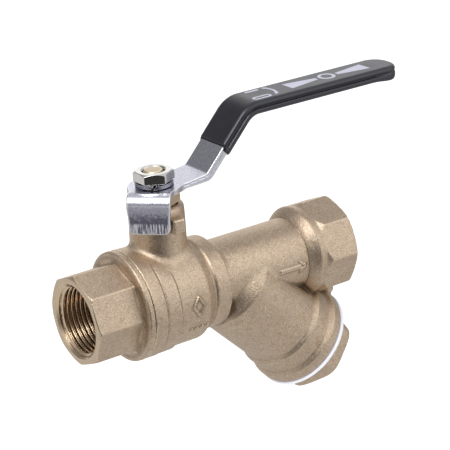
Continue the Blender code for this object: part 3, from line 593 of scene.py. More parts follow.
def black_pvc():
    """Dipped PVC: black, semi-gloss, with a faint bloom and slow ripples in the skin."""
    material, tree, shader, at = new_material("black_pvc_look", 0.0)
    ripple = noise(tree, stretched(tree, at, (0.35, 1, 1)), 5, 2)
    fine = noise(tree, at, 0.6, 2)
    bloom = noise(tree, at, 7, 4)
    base = mixed(tree, bloom, (0.006, 0.006, 0.009), (0.013, 0.013, 0.018))
    base = tinted(tree, fine, 0.6, 0.8, base, (0.03, 0.03, 0.04))
    rough = scaled(tree, bloom, 0.14, 0.19)
    rough = scaled(tree, fine, 0.10, rough)
    shader.inputs["Specular IOR Level"].default_value = 0.75
    shader.inputs["Specular Tint"].default_value = (0.90, 0.90, 1.0, 1)
    normal = bump(tree, fine, 0.012, bump(tree, ripple, 0.12))
    connect(tree, shader, colour=base, roughness=rough, normal=normal)
    return material


def plain_polymer(name, low, high, rough_low, grain_size, depth, soft=0.0):
    """PTFE, rubber or ink: two close shades, a fine grain and a little sheen."""
    material, tree, shader, at = new_material(name, 0.0)
    clouds = noise(tree, at, 3, 3)
    grain = noise(tree, at, grain_size, 3, 0.6)
    shade = scaled(tree, grain, 0.6, product(tree, clouds, 0.4))
    colour = mixed(tree, shade, low, high)
    rough = scaled(tree, grain, 0.25, rough_low)
    shader.inputs["Subsurface Weight"].default_value = soft
    shader.inputs["Subsurface Radius"].default_value = (0.4 * MM, 0.4 * MM, 0.4 * MM)
    connect(tree, shader, colour=colour, roughness=rough, normal=bump(tree, grain, depth))
    return material


def stainless():
    material, tree, shader, at = new_material("stainless_look", 1.0)
    brushed = noise(tree, stretched(tree, at, (1, 0.15, 1)), 0.5, 3)
    clouds = noise(tree, at, 6, 3)
    colour = mixed(tree, brushed, (0.50, 0.50, 0.51), (0.66, 0.66, 0.67))
    rough = scaled(tree, clouds, 0.2, 0.24)
    connect(tree, shader, colour=colour, roughness=rough, normal=bump(tree, brushed, 0.01))
    return material


FORGED = forged_brass()
TURNED = turned_brass()
ZINC = zinc_plate()
NICKEL = nickel()
SPRING = spring_steel()
PVC = black_pvc()
PTFE = plain_polymer("ptfe_look", (0.70, 0.70, 0.76), (0.84, 0.84, 0.90), 0.35, 0.5, 0.01, soft=0.3)
RUBBER = plain_polymer("rubber_look", (0.012, 0.012, 0.012), (0.03, 0.03, 0.03), 0.5, 0.3, 0.02)
INK = plain_polymer("pad_print_look", (0.40, 0.40, 0.50), (0.58, 0.58, 0.68), 0.4, 0.35, 0.006)
STEEL = stainless()


# ---- the forging

FACE_SOFT = 0.3
CAP_CORNER_R = 17.15
OUTLET_CORNER_R = 18.4
OUTLET_BACK_X = 63.2
THREAD_DEPTH = 15.6
RELIEF_R = 13.3
SPIGOT_R = 17.3
SEAL_GROOVE_R = 15.7
MOUTH_THREAD_R = 15.8
FINE_PITCH = 1.5
BRANCH_END = 50.4
# Start, end and radius of each bore, and in the chamber how softly its corners turn
CHAMBER_BORES = (
    (-30, -8.3, 17.7, 0.3), (-8.8, 6.2, 16.2, 1.5), (4, 14.3, 14.0, 0.3), (10, 62, PORT_R, 0.3),
)
TOWER_BORES = ((27.0, 40, 8.0), (18, 30, 5.4), (9, 19.6, 7.5))


def octagon_end(p, face_x, back_x, corner_r):
    """An octagonal pipe end with a corner on top, turned to a cone at both of its ends."""
    x, y, z = p.T
    radius = np.hypot(y, z)
    apothem = corner_r * math.cos(math.pi / 8)
    outward = 1 if face_x > back_x else -1
    sides = prism(y, z, 8, apothem, math.pi / 2, 0.35)
    ends = np.maximum((x - face_x) * outward, (back_x - x) * outward)
    solid = soft_max(sides, ends, FACE_SOFT)
    along = x * outward
    face = face_x * outward
    nose = cone(along, radius, (face - 0.9, corner_r), (face, corner_r - 1.35))
    return soft_max(solid, nose, 0.25)


def threaded_bore(p, face_x, inner_x):
    """The hole for a pipe: a chamfered mouth, the female thread, a relief and the port behind it."""
    x, y, z = p.T
    outward = 1 if face_x > inner_x else -1
    radius, angle = np.hypot(y, z), np.arctan2(z, y)
    depth = (face_x - x) * outward
    fade = np.clip((THREAD_DEPTH - depth) / 1.2, 0, 1)
    thread = thread_radius(x, angle, THREAD_MINOR, THREAD_DEPTH_R, THREAD_PITCH)
    mouth = MOUTH_R - np.maximum(depth - 0.2, 0) * 1.1
    wall = np.maximum(np.maximum(thread, mouth), THREAD_MINOR)
    wall = wall * fade + RELIEF_R * (1 - fade)
    wall = np.where(depth > 17.0, PORT_R + np.clip(18.6 - depth, 0, 1.6) * 1.6, wall)
    hole = (radius - wall) * 0.42
    beyond = (x - inner_x) * -outward
    return np.maximum(hole, beyond)


BARREL_REAR = (
    (7.4, 19.4), (8.4, 19.2), (9.2, 18.7), (12.2, 16.85), (12.9, 16.75), (13.3, 17.1), (13.7, 17.25),
    (18.8, 17.25), (19.2, 17.1), (19.4, 14.2), (19.6, TUBE_R), (57.0, TUBE_R), (57.2, 14.5), (58.0, 15.4),
    (59.2, 16.4), (60.2, 17.1), (60.8, 17.35), (61.6, 17.4), (62.6, 17.2), (63.4, 17.0), (66.6, 16.9),
)
BARREL = (
    (-15.85, FLANGE_R - 0.1), (-10.7, FLANGE_R - 0.1), (-10.5, FLANGE_R - 0.45), (-10.2, FLANGE_R - 0.45),
    (-10.05, FLANGE_R - 0.3), (-4.5, FLANGE_R - 0.35), (-4.2, 19.4), *BARREL_REAR,
)
SMOOTH_BARREL = ((-15.85, FLANGE_R - 0.1), (-10.3, FLANGE_R - 0.25), (-2.5, 19.4), *BARREL_REAR)
BRANCH = (
    (-1.2, 11.9), (1.0, 13.6), (6.0, 17.35), (6.5, 17.6), (36.7, 17.55),
    (38.0, 18.65), (44.8, 18.7), (46.4, 20.1), (BRANCH_END, 20.15),
)


def tower_field(p):
    x, y, z = p.T
    radius = np.hypot(x, y)
    outline = ((8, 10.6), (19, 10.5), (22, 10.3), (30, 10.2), (33.0, 10.1), (TOWER_TOP, 10.0))
    return turned(z, radius, outline, 0.6, 2.2)


def lug_field(p):
    x, y, z = p.T
    return box(x - 1.0, y, z - 29.6, 2.5, 13.5, 2.6, 0.7)


def arrow_field(p):
    """A raised arrow on the tube's side, pointing to the outlet."""
    x, y, z = p.T
    depth = np.hypot(y, z) - TUBE_R - 0.42
    shaft = box(x - 48.3, z, 0 * x, 4.7, 0.75, 9, 0.3)
    nose = 55.4 - x
    barbs = np.abs(np.abs(z) - nose * 0.62) * 0.85 - 0.5
    head = np.maximum(np.maximum(barbs, 52.5 - x), -nose)
    mark = np.minimum(shaft, head)
    return np.maximum(soft_max(mark, depth, 0.3), y)


def cast_marks(p):
    """A plain diamond and a row of studs, in relief on the chamber's side."""
    x, y, z = p.T
    over = np.hypot(y, z) - 20.0
    arc = 19.4 * np.arctan2(z, -y)
    diamond = np.abs((np.abs(x - 3.2) * 1.5 + np.abs(arc - 0.3)) * 0.55 - 1.9) - 0.38
    studs = np.full(len(x), 9.0)
    for i in range(4):
        studs = np.minimum(studs, np.hypot(x - 0.4 - 2.3 * i, arc + 8.9) - 0.65)
    return np.maximum(soft_max(np.minimum(diamond, studs), over, 0.5), y)


def web_field(p):
    x, y, z = p.T
    reach = BRANCH_ORIGIN[0] + BRANCH_END * math.sqrt(2)
    slanted = (x - z - reach) / math.sqrt(2)
    solid = box(x - 70.4, y, z + 18, 6.4, 3.2, 5.5, 0.6)
    return soft_max(solid, slanted, 0.5)


def body_field(p):
    x, y, z = p.T
    radius = np.hypot(y, z)
    along, across, turn = branch_coordinates(p)
    near_tower = np.clip((17.5 - np.hypot(x, y)) / 4.0, 0, 1) * (z > 0)
    near_tower = near_tower * near_tower * (3 - 2 * near_tower)
    barrel = turned(x, radius, BARREL, 0.3, 0.3)
    barrel += (turned(x, radius, SMOOTH_BARREL, 0.6, 0.3) - barrel) * near_tower
    end = octagon_end(p, OUTLET_X, OUTLET_BACK_X, OUTLET_CORNER_R)
    neck = cone(x, radius, (OUTLET_BACK_X, 16.9), (66.0, 18.5))
    end = soft_max(end, neck, 0.2)
    solid = soft_min(barrel, end, 0.3)
    solid = soft_min(solid, tower_field(p), 2.3)
    solid = soft_min(solid, lug_field(p), 0.5)
    branch = turned(along, across, BRANCH, 0.45, 0.6)
    solid = soft_min(solid, branch, 0.5)
    solid = soft_min(solid, web_field(p), 1.0)
    solid = soft_min(solid, arrow_field(p), 0.45)
    solid = soft_min(solid, cast_marks(p), 0.5)

    for start, stop, size, soft in CHAMBER_BORES:
        solid = cut(solid, drum(x, radius, start, stop, size, soft))
    solid = cut(solid, threaded_bore(p, OUTLET_X, 58))
    for start, stop, size in TOWER_BORES:
        solid = cut(solid, drum(z, np.hypot(x, y), start, stop, size))
    mouth = thread_radius(along, turn, MOUTH_THREAD_R, 0.6, FINE_PITCH)
    solid = cut(solid, np.maximum((across - mouth) * 0.5, 40.7 - along))
    solid = cut(solid, drum(along, across, 11, 41.5, 14.4, 1.0))
    return cut(solid, drum(along, across, -1, 12, 11.2))


def body_machined(p):
    x, y, z = p.T
    radius = np.hypot(y, z)
    along, across, _ = branch_coordinates(p)
    face = np.clip((x - OUTLET_X + 0.5) / 0.35, 0, 1)
    bore = ((radius < 13.9) & (x > 20)) | ((radius < 17.9) & (x < 8)) | ((np.hypot(x, y) < 8.2) & (z > 12))
    branch = (across < 16.6) & (along > 8)
    branch_face = np.clip((along - BRANCH_END + 0.3) / 0.3, 0, 1)
    return np.maximum(np.maximum(face, branch_face), (bore | branch).astype(float))


FLANGE = (
    (-19.3, 15.7), (-18.9, 16.3), (-18.5, 18.4), (-18.3, 19.9), (-17.8, FLANGE_R - 0.15), (-16.0, FLANGE_R),
)
SPIGOT = (
    (-17, SPIGOT_R), (-15.1, SPIGOT_R), (-14.9, SEAL_GROOVE_R), (-12.9, SEAL_GROOVE_R), (-12.7, SPIGOT_R),
    (-8.7, SPIGOT_R),
)


def cap_field(p):
    x, y, z = p.T
    radius = np.hypot(y, z)
    flange = turned(x, radius, FLANGE, 0.25, 0.25)
    solid = soft_min(octagon_end(p, INLET_X, -17.5, CAP_CORNER_R), flange, 0.6)
    spigot = turned(x, radius, SPIGOT)
    solid = soft_min(solid, spigot, 0.2)
    solid = cut(solid, threaded_bore(p, INLET_X, -16.5))
    solid = cut(solid, drum(x, radius, -19, 0, PORT_R))
    return cut(solid, drum(x, radius, -14.3, 0, 14.0))


def cap_machined(p):
    x, y, z = p.T
    radius = np.hypot(y, z)
    face = np.clip((INLET_X + 0.55 - x) / 0.4, 0, 1) * 0.55
    bore = (radius < 13.9).astype(float)
    return np.maximum(np.maximum(face, bore), (x > -16.3).astype(float))


def build_forgings():
    brass = ("valve_body", "forged_brass")
    piece("valve_body_forging", "valve_body", *brass, body_field, 0.56, FORGED, body_machined)
    piece("inlet_end_cap_forging", "inlet_end_cap", *brass, cap_field, 0.36, FORGED, cap_machined)


# ---- strainer

PLUG_HEAD_START = 52.7
PLUG_END = 62.3
PLUG_CORNER = 17.4
STUB_R = 14.95
GASKET_START = 50.75
GASKET_THICK = 1.5
GASKET_MIDDLE_R = 18.2


def plug_field(p):
    along, across, turn = branch_coordinates(p)
    q = p - BRANCH_ORIGIN
    side = q @ BRANCH_SIDE
    sides = prism(-side, q[:, 1], 6, PLUG_CORNER * math.cos(math.pi / 6), math.radians(-133), 1.4)
    ends = np.maximum(PLUG_HEAD_START - along, along - PLUG_END)
    head = soft_max(sides, ends, 0.6)
    nose = cone(along, across, (PLUG_END - 1.6, PLUG_CORNER), (PLUG_END, PLUG_CORNER - 1.5))
    head = soft_max(head, nose, 0.8)
    stub_r = thread_radius(along, turn, STUB_R, 0.62, FINE_PITCH)
    stub_r = np.where(along > 50.2, 14.9, stub_r)
    stub = np.maximum((across - stub_r) * 0.5, np.maximum(41.1 - along, along - 54))
    solid = soft_min(head, stub, 0.3)
    solid = cut(solid, drum(along, across, 38, 46.3, 11.2))
    return cut(solid, drum(along, across, 38, 56, 9.3, 1.0))


def plug_machined(p):
    along, _, _ = branch_coordinates(p)
    return (along < PLUG_HEAD_START + 0.2).astype(float)


def gasket_field(p):
    along, across, _ = branch_coordinates(p)
    half = GASKET_THICK / 2
    middle = GASKET_START + half
    width = GASKET_R - GASKET_MIDDLE_R
    return box(across - GASKET_MIDDLE_R, along - middle, 0 * along, width, half, 9, 0.35)


SCREEN_R = 10.9
SCREEN_WALL = 0.45
SCREEN_START = -0.7
SCREEN_END = 46.0
SCREEN_RIM = 2.0
SCREEN_ROWS = 26
SCREEN_COLUMNS = 40
SCREEN_HOLE = 0.30
HOLE_POINTS = 8


def screen_mesh(name):
    """A rolled sheet with staggered round holes, thickened inwards."""
    row_step = (SCREEN_END - SCREEN_START - 2 * SCREEN_RIM) / SCREEN_ROWS
    first_row = SCREEN_START + SCREEN_RIM
    verts, faces, lookup = [], [], {}

    def corner(column, along):
        key = (round(column * 1000) % (SCREEN_COLUMNS * 1000), round(along * 1000))
        if key not in lookup:
            lookup[key] = len(verts)
            turn = column * 2 * math.pi / SCREEN_COLUMNS
            out = BRANCH_SIDE * math.cos(turn) + np.array((0, 1, 0)) * math.sin(turn)
            verts.append(in_metres(BRANCH_ORIGIN + BRANCH_AXIS * along + out * SCREEN_R))
        return lookup[key]

    for row in range(SCREEN_ROWS):
        low = first_row + row * row_step
        for column in range(SCREEN_COLUMNS):
            left = column + 0.5 * (row % 2)
            rim, square = [], []
            for i in range(HOLE_POINTS):
                turn = 2 * math.pi * (i + 0.5) / HOLE_POINTS
                ca, sa = math.cos(turn), math.sin(turn)
                for ring, reach in ((rim, SCREEN_HOLE), (square, 0.5 / max(abs(ca), abs(sa)))):
                    ring.append(corner(left + 0.5 + reach * ca, low + row_step * (0.5 + reach * sa)))
            ends = [corner(left + u, low + row_step * v) for u, v in ((1, 1), (0, 1), (0, 0), (1, 0))]
            for i in range(HOLE_POINTS):
                j = (i + 1) % HOLE_POINTS
                outer = (ends[i // 2],) if i % 2 == 0 else ()
                faces.append((rim[i], square[i], *outer, square[j], rim[j]))
    last_row = first_row + SCREEN_ROWS * row_step
    for low, high, row in ((SCREEN_START, first_row, 0), (last_row, SCREEN_END, SCREEN_ROWS - 1)):
        for column in range(SCREEN_COLUMNS):
            left = column + 0.5 * (row % 2)
            right = left + 1
            faces.append((corner(left, low), corner(right, low), corner(right, high), corner(left, high)))
    mesh = bpy.data.meshes.new(name)
    mesh.from_pydata(verts, [], faces)
    mesh.materials.append(STEEL)
    obj = bpy.data.objects.new(name, mesh)
    bpy.context.scene.collection.objects.link(obj)
    solidify = obj.modifiers.new("wall", "SOLIDIFY")
    solidify.thickness = SCREEN_WALL * MM
    solidify.offset = -1
    return obj


def build_strainer():
    gap = 1.0
    low, high = node_box("strainer_plug")
    span = np.minimum(GASKET_LOW, low) - gap, np.maximum(GASKET_HIGH, high) + gap
    forged = ("plug", "forged_brass", plug_field, 0.45, FORGED, plug_machined)
    piece("strainer_plug_forging", "strainer_plug", *forged, span)
    piece("plug_gasket_ring", "plug_gasket", "screen", "ptfe", gasket_field, 0.4, PTFE)
    belongs(screen_mesh("strainer_screen_sheet"), "screen", "stainless_mesh", "strainer_screen")


# ---- ball and stem

STEM_CORE_R = 4.2
STEM_FLAT = 3.2


def ball_field(p):
    x, y, z = p.T
    ball = np.sqrt((p * p).sum(1)) - BALL_R
    ball = cut(ball, np.hypot(y, z) - PORT_R, 0.5)
    slot = np.maximum(np.abs(x) - 3.3, 11.4 - z)
    return cut(ball, slot)


def seat_field(p):
    """Both seat rings share this: the section repeats at the inlet and the outlet."""
    x, y, z = p.T
    x = np.abs(x)
    radius = np.hypot(y, z)
    ring = drum(x, radius, SEAT_LOW[0], SEAT_HIGH[0], SEAT_HIGH[1])
    ring = cut(ring, radius - PORT_R - 0.2)
    return cut(ring, np.hypot(x, radius) - BALL_R - 0.3)


SHANK = (
    (16.3, 7.2), (18.2, 7.2), (18.4, 5.1), (20.8, 5.1), (21.0, 3.4), (23.0, 3.4), (23.2, 5.1), (39.4, 5.1),
    (39.7, STEM_CORE_R), (42.2, STEM_CORE_R),
)


def stem_field(p):
    x, y, z = p.T
    radius, angle = np.hypot(x, y), np.arctan2(y, x)
    shank = turned(z, radius, SHANK, 0.2, 0.3)
    flat = np.abs(x) - STEM_FLAT
    flats = np.maximum(np.maximum(flat, radius - STEM_CORE_R), np.maximum(39.0 - z, z - 42.4))
    shank = np.where(z > 39.6, np.maximum(shank, flat), shank)
    shank = np.minimum(shank, flats)
    size = thread_radius(z, angle, 3.25, 0.45, 1.25)
    screw = np.maximum((radius - size) * 0.45, np.maximum(41.5 - z, z - STEM_TOP))
    crown = cone(z, radius, (STEM_TOP - 0.6, 3.7), (STEM_TOP, 3.1))
    screw = soft_max(screw, crown, 0.2)
    tang = box(x, y, z - 14.4, 3.0, 5.6, 2.6, 0.3)
    return np.minimum(np.minimum(shank, screw), tang)


def build_ball_and_stem():
    piece("ball_turned", "ball", "ball", "chrome", ball_field, 0.5, NICKEL)
    for node in ("seat_ring_inlet", "seat_ring_outlet"):
        piece(node + "_ptfe", node, "valve_body", "ptfe", seat_field, 0.4, PTFE)
    piece("stem_turned", "stem", "lever", "machined_brass", stem_field, 0.25, TURNED)


# ---- gland, nut and washer


def hexagon_nut(p, low, high, corner_r, phase, hole_r, chamfer, soft):
    x, y, z = p.T
    radius = np.hypot(x, y)
    sides = prism(x, y, 6, corner_r * math.cos(math.pi / 6), phase, soft)
    solid = soft_max(sides, np.maximum(low - z, z - high), 0.15)
    crown = cone(z, radius, (high - chamfer, corner_r), (high, corner_r - 1.15))
    solid = soft_max(solid, crown, 0.12)
    return cut(solid, drum(z, radius, low - 1, high + 1, hole_r, 0.2), 0.25)


def nut_field(p):
    x, y, z = p.T
    nut = hexagon_nut(p, NUT_LOW[2], NUT_HIGH[2], NUT_CORNER, math.radians(30), 4.0, 0.75, 0.22)
    mouth = cone(z, np.hypot(x, y), (NUT_HIGH[2] - 0.6, 4.0), (NUT_HIGH[2], 4.6))
    return cut(nut, np.maximum(mouth, NUT_HIGH[2] - 0.7 - z), 0.15)


def gland_field(p):
    x, y, z = p.T
    radius = np.hypot(x, y)
    base = GLAND_HIGH[2] - 3.5
    nut = hexagon_nut(p, base, GLAND_HIGH[2], 9.0, math.radians(-34), 5.4, 0.7, 0.3)
    sleeve = cut(drum(z, radius, GLAND_LOW[2], base + 1, 7.7), radius - 5.4, 0.2)
    return np.minimum(nut, sleeve)


def washer_field(p):
    """A helical spring washer: one turn of square section with a slanting split."""
    x, y, z = p.T
    radius = np.hypot(x, y)
    split = math.radians(-125)
    turn = np.mod(np.arctan2(y, x) - split, 2 * math.pi)
    middle = (WASHER_LOW[2] + WASHER_HIGH[2]) / 2
    lift = (turn / (2 * math.pi) - 0.5) * 0.16
    ring = box(radius - 5.65, z - middle - lift, 0 * x, 1.3, 0.66, 9, 0.12)
    around = np.where(turn > math.pi, turn - 2 * math.pi, turn) * radius
    gap = np.abs(around - (z - middle) * 0.9) - 0.45
    return cut(ring, gap * 0.7, 0.2)


def build_fasteners():
    piece("lever_nut_plated", "lever_nut", "lever", "chrome", nut_field, 0.16, NICKEL)
    piece("gland_nut_turned", "gland_nut", "valve_body", "machined_brass", gland_field, 0.26, TURNED)
    piece("spring_washer_steel", "spring_washer", "lever", "zinc_plate", washer_field, 0.16, SPRING)


# ---- lever and grip

FIRST_BEND = (18.2, 43.7)
GRIP_LIFT = 0.8
SECOND_BEND = (37.6, GRIP_TOP - GRIP_LIFT)
ARM_HALF = 7.2
ARM_END = GRIP_HIGH[0] - 1.8
FLANGE_DEPTH = 3.0
LEVER_PATH = bent_path(
    ((-20, PLATE_TOP), (5, PLATE_TOP), FIRST_BEND, SECOND_BEND, (140, SECOND_BEND[1])), (20, 2.0, 11)
)
GRIP_MOUTH = 49.0
TAB_FACE = 12.6
TAB_PATH = bent_path(((-20, PLATE_TOP), (TAB_FACE, PLATE_TOP), (TAB_FACE, 0)), (4.6,))
TAB_BOTTOM = 27.7


def plan_end(x, y, end_x, half, corner):
    """The plan of a bar with round corners at its far end."""
    a = x - end_x + corner
    b = np.abs(y) - half + corner
    return np.where((a > 0) & (b > 0), np.hypot(a, b) - corner, np.maximum(a, b) - corner)


def tab_field(p):
    x, y, z = p.T
    out = -(x + y) / math.sqrt(2)
    side = (x - y) / math.sqrt(2)
    depth, _ = below_path(out, z, TAB_PATH)
    plate = soft_max(-depth, depth - PLATE_T, 0.5)
    half = 7.45 + np.clip((z - 33) / 4.5, 0, 1) * 0.45
    edge = plan_end(-z, side, -TAB_BOTTOM, half, 2.3)
    plate = soft_max(plate, edge, 0.55)
    return np.maximum(plate, 3 - out)


def hidden_inset(along):
    """How much the arm is drawn in where the grip hides it, so the skin's wall is thick enough."""
    return 0.9 * np.clip((along - GRIP_MOUTH) / 1.5, 0, 1)


def lever_field(p):
    x, y, z = p.T
    radius = np.hypot(x, y)
    depth, along = below_path(x, z, LEVER_PATH)
    full = PLATE_T + (FLANGE_DEPTH + 0.2 - PLATE_T) * np.clip((x - 5) / 13.2, 0, 1)
    inset = hidden_inset(along)
    arm = soft_max(inset * 0.5 - depth, depth - full, 0.6)
    arm = soft_max(arm, plan_end(x, y, ARM_END, ARM_HALF, 5.2) + inset, 0.6)
    arm = np.maximum(arm, 1 - x)
    channel = np.maximum(PLATE_T - depth, plan_end(x, y, ARM_END - PLATE_T, ARM_HALF - PLATE_T, 3))
    arm = cut(arm, np.maximum(channel, 22 - x), 0.5)
    crease = np.hypot(np.abs(y) - ARM_HALF - 0.05, depth - 0.95) - 0.22
    arm = cut(arm, crease, 0.25)
    head = soft_max(radius - 9.9, np.maximum(-depth, depth - PLATE_T), 0.5)
    solid = soft_min(head, arm, 1.5)
    solid = soft_min(solid, tab_field(p), 0.8)
    solid = soft_max(solid, -depth, 0.05)
    hole = np.maximum(radius - 4.5, np.abs(x) - 3.5)
    return cut(solid, np.maximum(hole, 38 - z), 0.2)


def tab_wear_and_dark_reflection(p):
    """Runs from 0 at the tab's bend to 1 at its bottom edge, and is 0 on the rest of the lever. It places
    the tab's scratches and its painted dark reflection.
    """
    x, y, z = p.T
    out = -(x + y) / math.sqrt(2)
    return np.where(out > 9.5, np.clip((39.5 - z) / (39.5 - TAB_BOTTOM), 0, 1), 0)


def grip_field(p):
    x, y, z = p.T
    depth, along = below_path(x, z, LEVER_PATH)
    tip_share = np.clip((x - GRIP_HIGH[0] + 14) / 12, 0, 1)
    tip_share = tip_share * tip_share * (3 - 2 * tip_share)
    height = FLANGE_DEPTH + 2 * GRIP_LIFT + 0.4 + 1.0 * tip_share
    top = -depth - GRIP_LIFT
    bottom = depth - (height - GRIP_LIFT)
    half = GRIP_HIGH[1]
    inset = hidden_inset(along)
    groove = 0.95 * np.exp(-((depth - 1.5) / 0.5) ** 2) * (1 - 0.7 * tip_share) * (0.1 + inset)
    plan = plan_end(x, y, GRIP_HIGH[0], half, 7.2) + groove
    solid = soft_max(top, plan, 2.2)
    solid = soft_max(solid, bottom, 2.0)
    mouth = (25.3 - x) * 0.75 - (z - 51.2) * 0.66 + 0.35 * np.cos(y * 0.4)
    mouth = np.maximum(GRIP_LOW[0] + 0.05 - x, mouth * 0.5)
    solid = soft_max(solid, mouth, 0.6)
    pocket_plan = plan_end(x, y, ARM_END + 0.2, ARM_HALF + 0.25, 5.4) + inset
    pocket = np.maximum(np.maximum(inset * 0.5 - depth - 0.25, depth - FLANGE_DEPTH - 0.3), pocket_plan)
    return cut(solid, pocket, 0.2)


def print_shape(name, outlines):
    """Pad print: flat outlines a hair above the grip's top, as one thin closed mesh."""
    curve = bpy.data.curves.new(name, "CURVE")
    curve.dimensions = "2D"
    curve.fill_mode = "BOTH"
    curve.extrude = 0.012 * MM
    for outline in outlines:
        spline = curve.splines.new("POLY")
        spline.points.add(len(outline) - 1)
        for point, (x, y) in zip(spline.points, outline):
            point.co = (x * MM, y * MM, 0, 1)
        spline.use_cyclic_u = True
    guide = bpy.data.objects.new(name + "_outline", curve)
    bpy.context.scene.collection.objects.link(guide)
    guide.location = in_metres((0, 0, GRIP_TOP + 0.012))
    bpy.context.view_layer.update()
    mesh = bpy.data.meshes.new_from_object(guide.evaluated_get(bpy.context.evaluated_depsgraph_get()))
    mesh.transform(guide.matrix_world)
    bpy.data.objects.remove(guide)
    mesh.materials.clear()
    mesh.materials.append(INK)
    obj = bpy.data.objects.new(name, mesh)
    bpy.context.scene.collection.objects.link(obj)
    return obj


def ring_points(centre, radius, start=0.0, end=360.0, count=24):
    angles = np.radians(np.linspace(start, end, count, endpoint=end - start < 360))
    return [(centre[0] + radius * math.cos(a), centre[1] + radius * math.sin(a)) for a in angles]


def capsule(ends, y, radius):
    """A round-ended bar's outline."""
    right = ring_points((ends[1], y), radius, -90, 90, 9)
    return right + ring_points((ends[0], y), radius, 90, 270, 9)


def turning_arrow(centre, radius, start, end, width):
    """A curved band with an arrowhead at each end."""
    band = ring_points(centre, radius + width / 2, start, end, 14)
    band += ring_points(centre, radius - width / 2, end, start, 14)
    heads = []
    for angle, way in ((start, -1), (end, 1)):
        a = math.radians(angle)
        tip = math.radians(angle + way * 17)
        corners = ((radius + 1.0, a), (radius - 1.0, a), (radius, tip))
        heads.append([(centre[0] + r * math.cos(t), centre[1] + r * math.sin(t)) for r, t in corners])
    return [band, *heads]


def build_grip_print():
    """Open and closed signs with a turning arrow, then a ball valve's drawing symbol."""
    open_bar = [(44.4, 3.8), (50.4, 3.8), (50.4, 5.2), (44.4, 5.2)]
    closed_ring = [capsule((43.6, 48.6), -3.9, 1.6), capsule((43.6, 48.6), -3.9, 0.65)]
    arrow = turning_arrow((46.4, 0.6), 7.8, -28, 24, 1.0)
    left, right, half, middle = 60.5, 97.5, 3.4, 79.0
    ball_r = 3.5
    wedge = half * ball_r / (middle - left)
    symbol = []
    for end_x, side in ((left, -1), (right, 1)):
        near = middle + side * (ball_r + 1.2)
        symbol.append([(end_x, -half), (near, -wedge * 1.6), (near, wedge * 1.6), (end_x, half)])
    symbol += [ring_points((middle, 0), ball_r), ring_points((middle, 0), ball_r - 1.3)]
    marks = print_shape("grip_print", [open_bar, *closed_ring, *arrow, *symbol])
    belongs(marks, "lever", "black_pvc")


def build_lever():
    span = LEVER_LOW, (GRIP_HIGH[0], LEVER_HIGH[1] + 2, GRIP_TOP)
    piece("lever_pressing", "lever", "lever", "zinc_plate", lever_field, 0.4, ZINC, tab_wear_and_dark_reflection, span)
    piece("lever_sleeve_skin", "lever_sleeve", "lever", "black_pvc", grip_field, 0.4, PVC)
    build_grip_print()


def dress_hidden_nodes():
    """Seals and packing keep their CAD shape and get a finished material."""
    looks = {"end_cap_seal": RUBBER, "stem_o_ring": RUBBER, "stem_thrust_washer": PTFE}
    looks |= {"packing_ring_lower": PTFE, "packing_ring_upper": PTFE}
    for node, material in looks.items():
        mesh = frame["nodes"][node].data
        mesh.materials.clear()
        mesh.materials.append(material)


# ---- studio


STUDIO_BASE = 0.66
STUDIO_DARKEST = 0.03
# Azimuth and height in degrees, the cosines where a light's edge and core lie, and what it adds or takes
STUDIO = (
    (-52, 30, 0.76, 0.97, 0.62),
    (200, 55, 0.78, 0.97, 0.50),
    (56, 12, 0.90, 0.985, 0.45),
    (117, 30, 0.74, 0.97, -0.42),
    (13, -12, 0.78, 0.97, -0.32),
    (236, 4, 0.62, 0.93, -0.62),
)


def studio_light(tree, direction):
    """How bright the studio looks in a direction: even, with three softboxes and three dark gaps."""
    light = STUDIO_BASE
    for azimuth, height, edge, core, change in STUDIO:
        azimuth, height = math.radians(azimuth), math.radians(height)
        way = (math.cos(azimuth) * math.cos(height), math.sin(azimuth) * math.cos(height), math.sin(height))
        facing = add_node(tree, "VectorMath", {0: direction, 1: way}, operation="DOT_PRODUCT")
        light = scaled(tree, ramp(tree, facing.outputs["Value"], edge, core), change, light)
    return maths(tree, "MAXIMUM", light, STUDIO_DARKEST)


def one_in_mirrors(tree, plain, mirrored):
    """The plain shader, except in reflections, which show the mirrored one."""
    in_mirror = add_node(tree, "LightPath").outputs["Is Glossy Ray"]
    shaders = {0: in_mirror, 1: plain.outputs[0], 2: mirrored.outputs[0]}
    return add_node(tree, "MixShader", shaders).outputs[0]


def build_world():
    world = bpy.data.worlds.new("studio")
    bpy.context.scene.world = world
    world.use_nodes = True
    tree = world.node_tree
    tree.nodes.clear()
    direction = add_node(tree, "TexCoord").outputs["Generated"]
    seen = studio_light(tree, direction)
    mirrored = add_node(tree, "Background", {"Strength": seen, "Color": (1, 1, 1, 1)})
    plain = add_node(tree, "Background", {"Strength": 1.0, "Color": (1, 1, 1, 1)})
    add_node(tree, "OutputWorld", {0: one_in_mirrors(tree, plain, mirrored)})


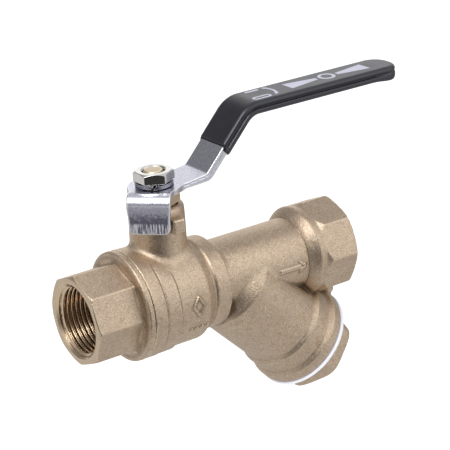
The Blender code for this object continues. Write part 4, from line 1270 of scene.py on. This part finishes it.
def build_floor():
    """A wide pale floor, low enough for the withdrawn screen. Reflections show the studio in its place."""
    size = 6.0
    slide = next(j for j in frame["joints"] if j["name"] == "screen_withdraw")
    drop = abs(slide["axis"][2]) * slide["range_m"][1]
    height = CAD_BOX[0].z - drop - 0.5 * MM
    mesh = bpy.data.meshes.new("floor")
    corners = [(-size, -size, height), (size, -size, height), (size, size, height), (-size, size, height)]
    mesh.from_pydata(corners, [], [(0, 1, 2, 3)])
    floor = bpy.data.objects.new("floor", mesh)
    bpy.context.scene.collection.objects.link(floor)
    material = bpy.data.materials.new("pale_floor")
    material.use_nodes = True
    tree = material.node_tree
    shader = tree.nodes["Principled BSDF"]
    shader.inputs["Base Color"].default_value = (0.93, 0.93, 0.93, 1)
    shader.inputs["Roughness"].default_value = 0.9
    shader.inputs["Specular IOR Level"].default_value = 0.0
    shader.inputs["Emission Color"].default_value = (1, 1, 1, 1)
    shader.inputs["Emission Strength"].default_value = 0.22
    position = add_node(tree, "NewGeometry").outputs["Position"]
    centre = tuple((CAD_BOX[0] + CAD_BOX[1]) / 2)
    away = add_node(tree, "VectorMath", {0: position, 1: centre}, operation="SUBTRACT").outputs[0]
    direction = add_node(tree, "VectorMath", {0: away}, operation="NORMALIZE").outputs[0]
    glow = add_node(tree, "Emission", {"Strength": studio_light(tree, direction)})
    output = next(n for n in tree.nodes if n.type == "OUTPUT_MATERIAL")
    tree.links.new(one_in_mirrors(tree, shader, glow), output.inputs[0])
    mesh.materials.append(material)


def build_key_light():
    """One soft disk above and behind the camera's left, aimed at the middle of the object."""
    offset = Vector((-0.38, -0.25, 0.65))
    lamp = bpy.data.lights.new("key", "AREA")
    lamp.shape = "DISK"
    lamp.size = 0.40
    lamp.energy = 2.2
    obj = bpy.data.objects.new("key", lamp)
    obj.location = (CAD_BOX[0] + CAD_BOX[1]) / 2 + offset
    obj.rotation_mode = "QUATERNION"
    obj.rotation_quaternion = (-offset).to_track_quat("-Z", "Y")
    bpy.context.scene.collection.objects.link(obj)


def build_camera():
    """A long lens from the inlet side, above and in front of the valve."""
    azimuth, height, roll = math.radians(-34.22), math.radians(21.06), math.radians(-3.29)
    distance = 578.99 * MM
    target = Vector(in_metres((0.01, -43.12, 38.97)))
    level = Vector((math.cos(azimuth), math.sin(azimuth), 0))
    away = Vector((math.sin(azimuth), -math.cos(azimuth), 0))
    back = away * math.cos(height) + Vector((0, 0, math.sin(height)))
    upward = back.cross(level)
    right = level * math.cos(roll) + upward * math.sin(roll)
    up = upward * math.cos(roll) - level * math.sin(roll)
    camera = bpy.data.cameras.new("camera")
    camera.sensor_width = 36
    camera.lens = 137.68
    camera.clip_start, camera.clip_end = 0.05, 20
    obj = bpy.data.objects.new("camera", camera)
    matrix = Matrix((right, up, back)).transposed().to_4x4()
    matrix.translation = target + back * distance
    obj.matrix_world = matrix
    bpy.context.scene.collection.objects.link(obj)
    bpy.context.scene.camera = obj


build_forgings()
build_strainer()
build_ball_and_stem()
build_fasteners()
build_lever()
dress_hidden_nodes()
build_floor()
build_world()
build_key_light()
build_camera()
bpy.context.scene.view_settings.view_transform = "Standard"
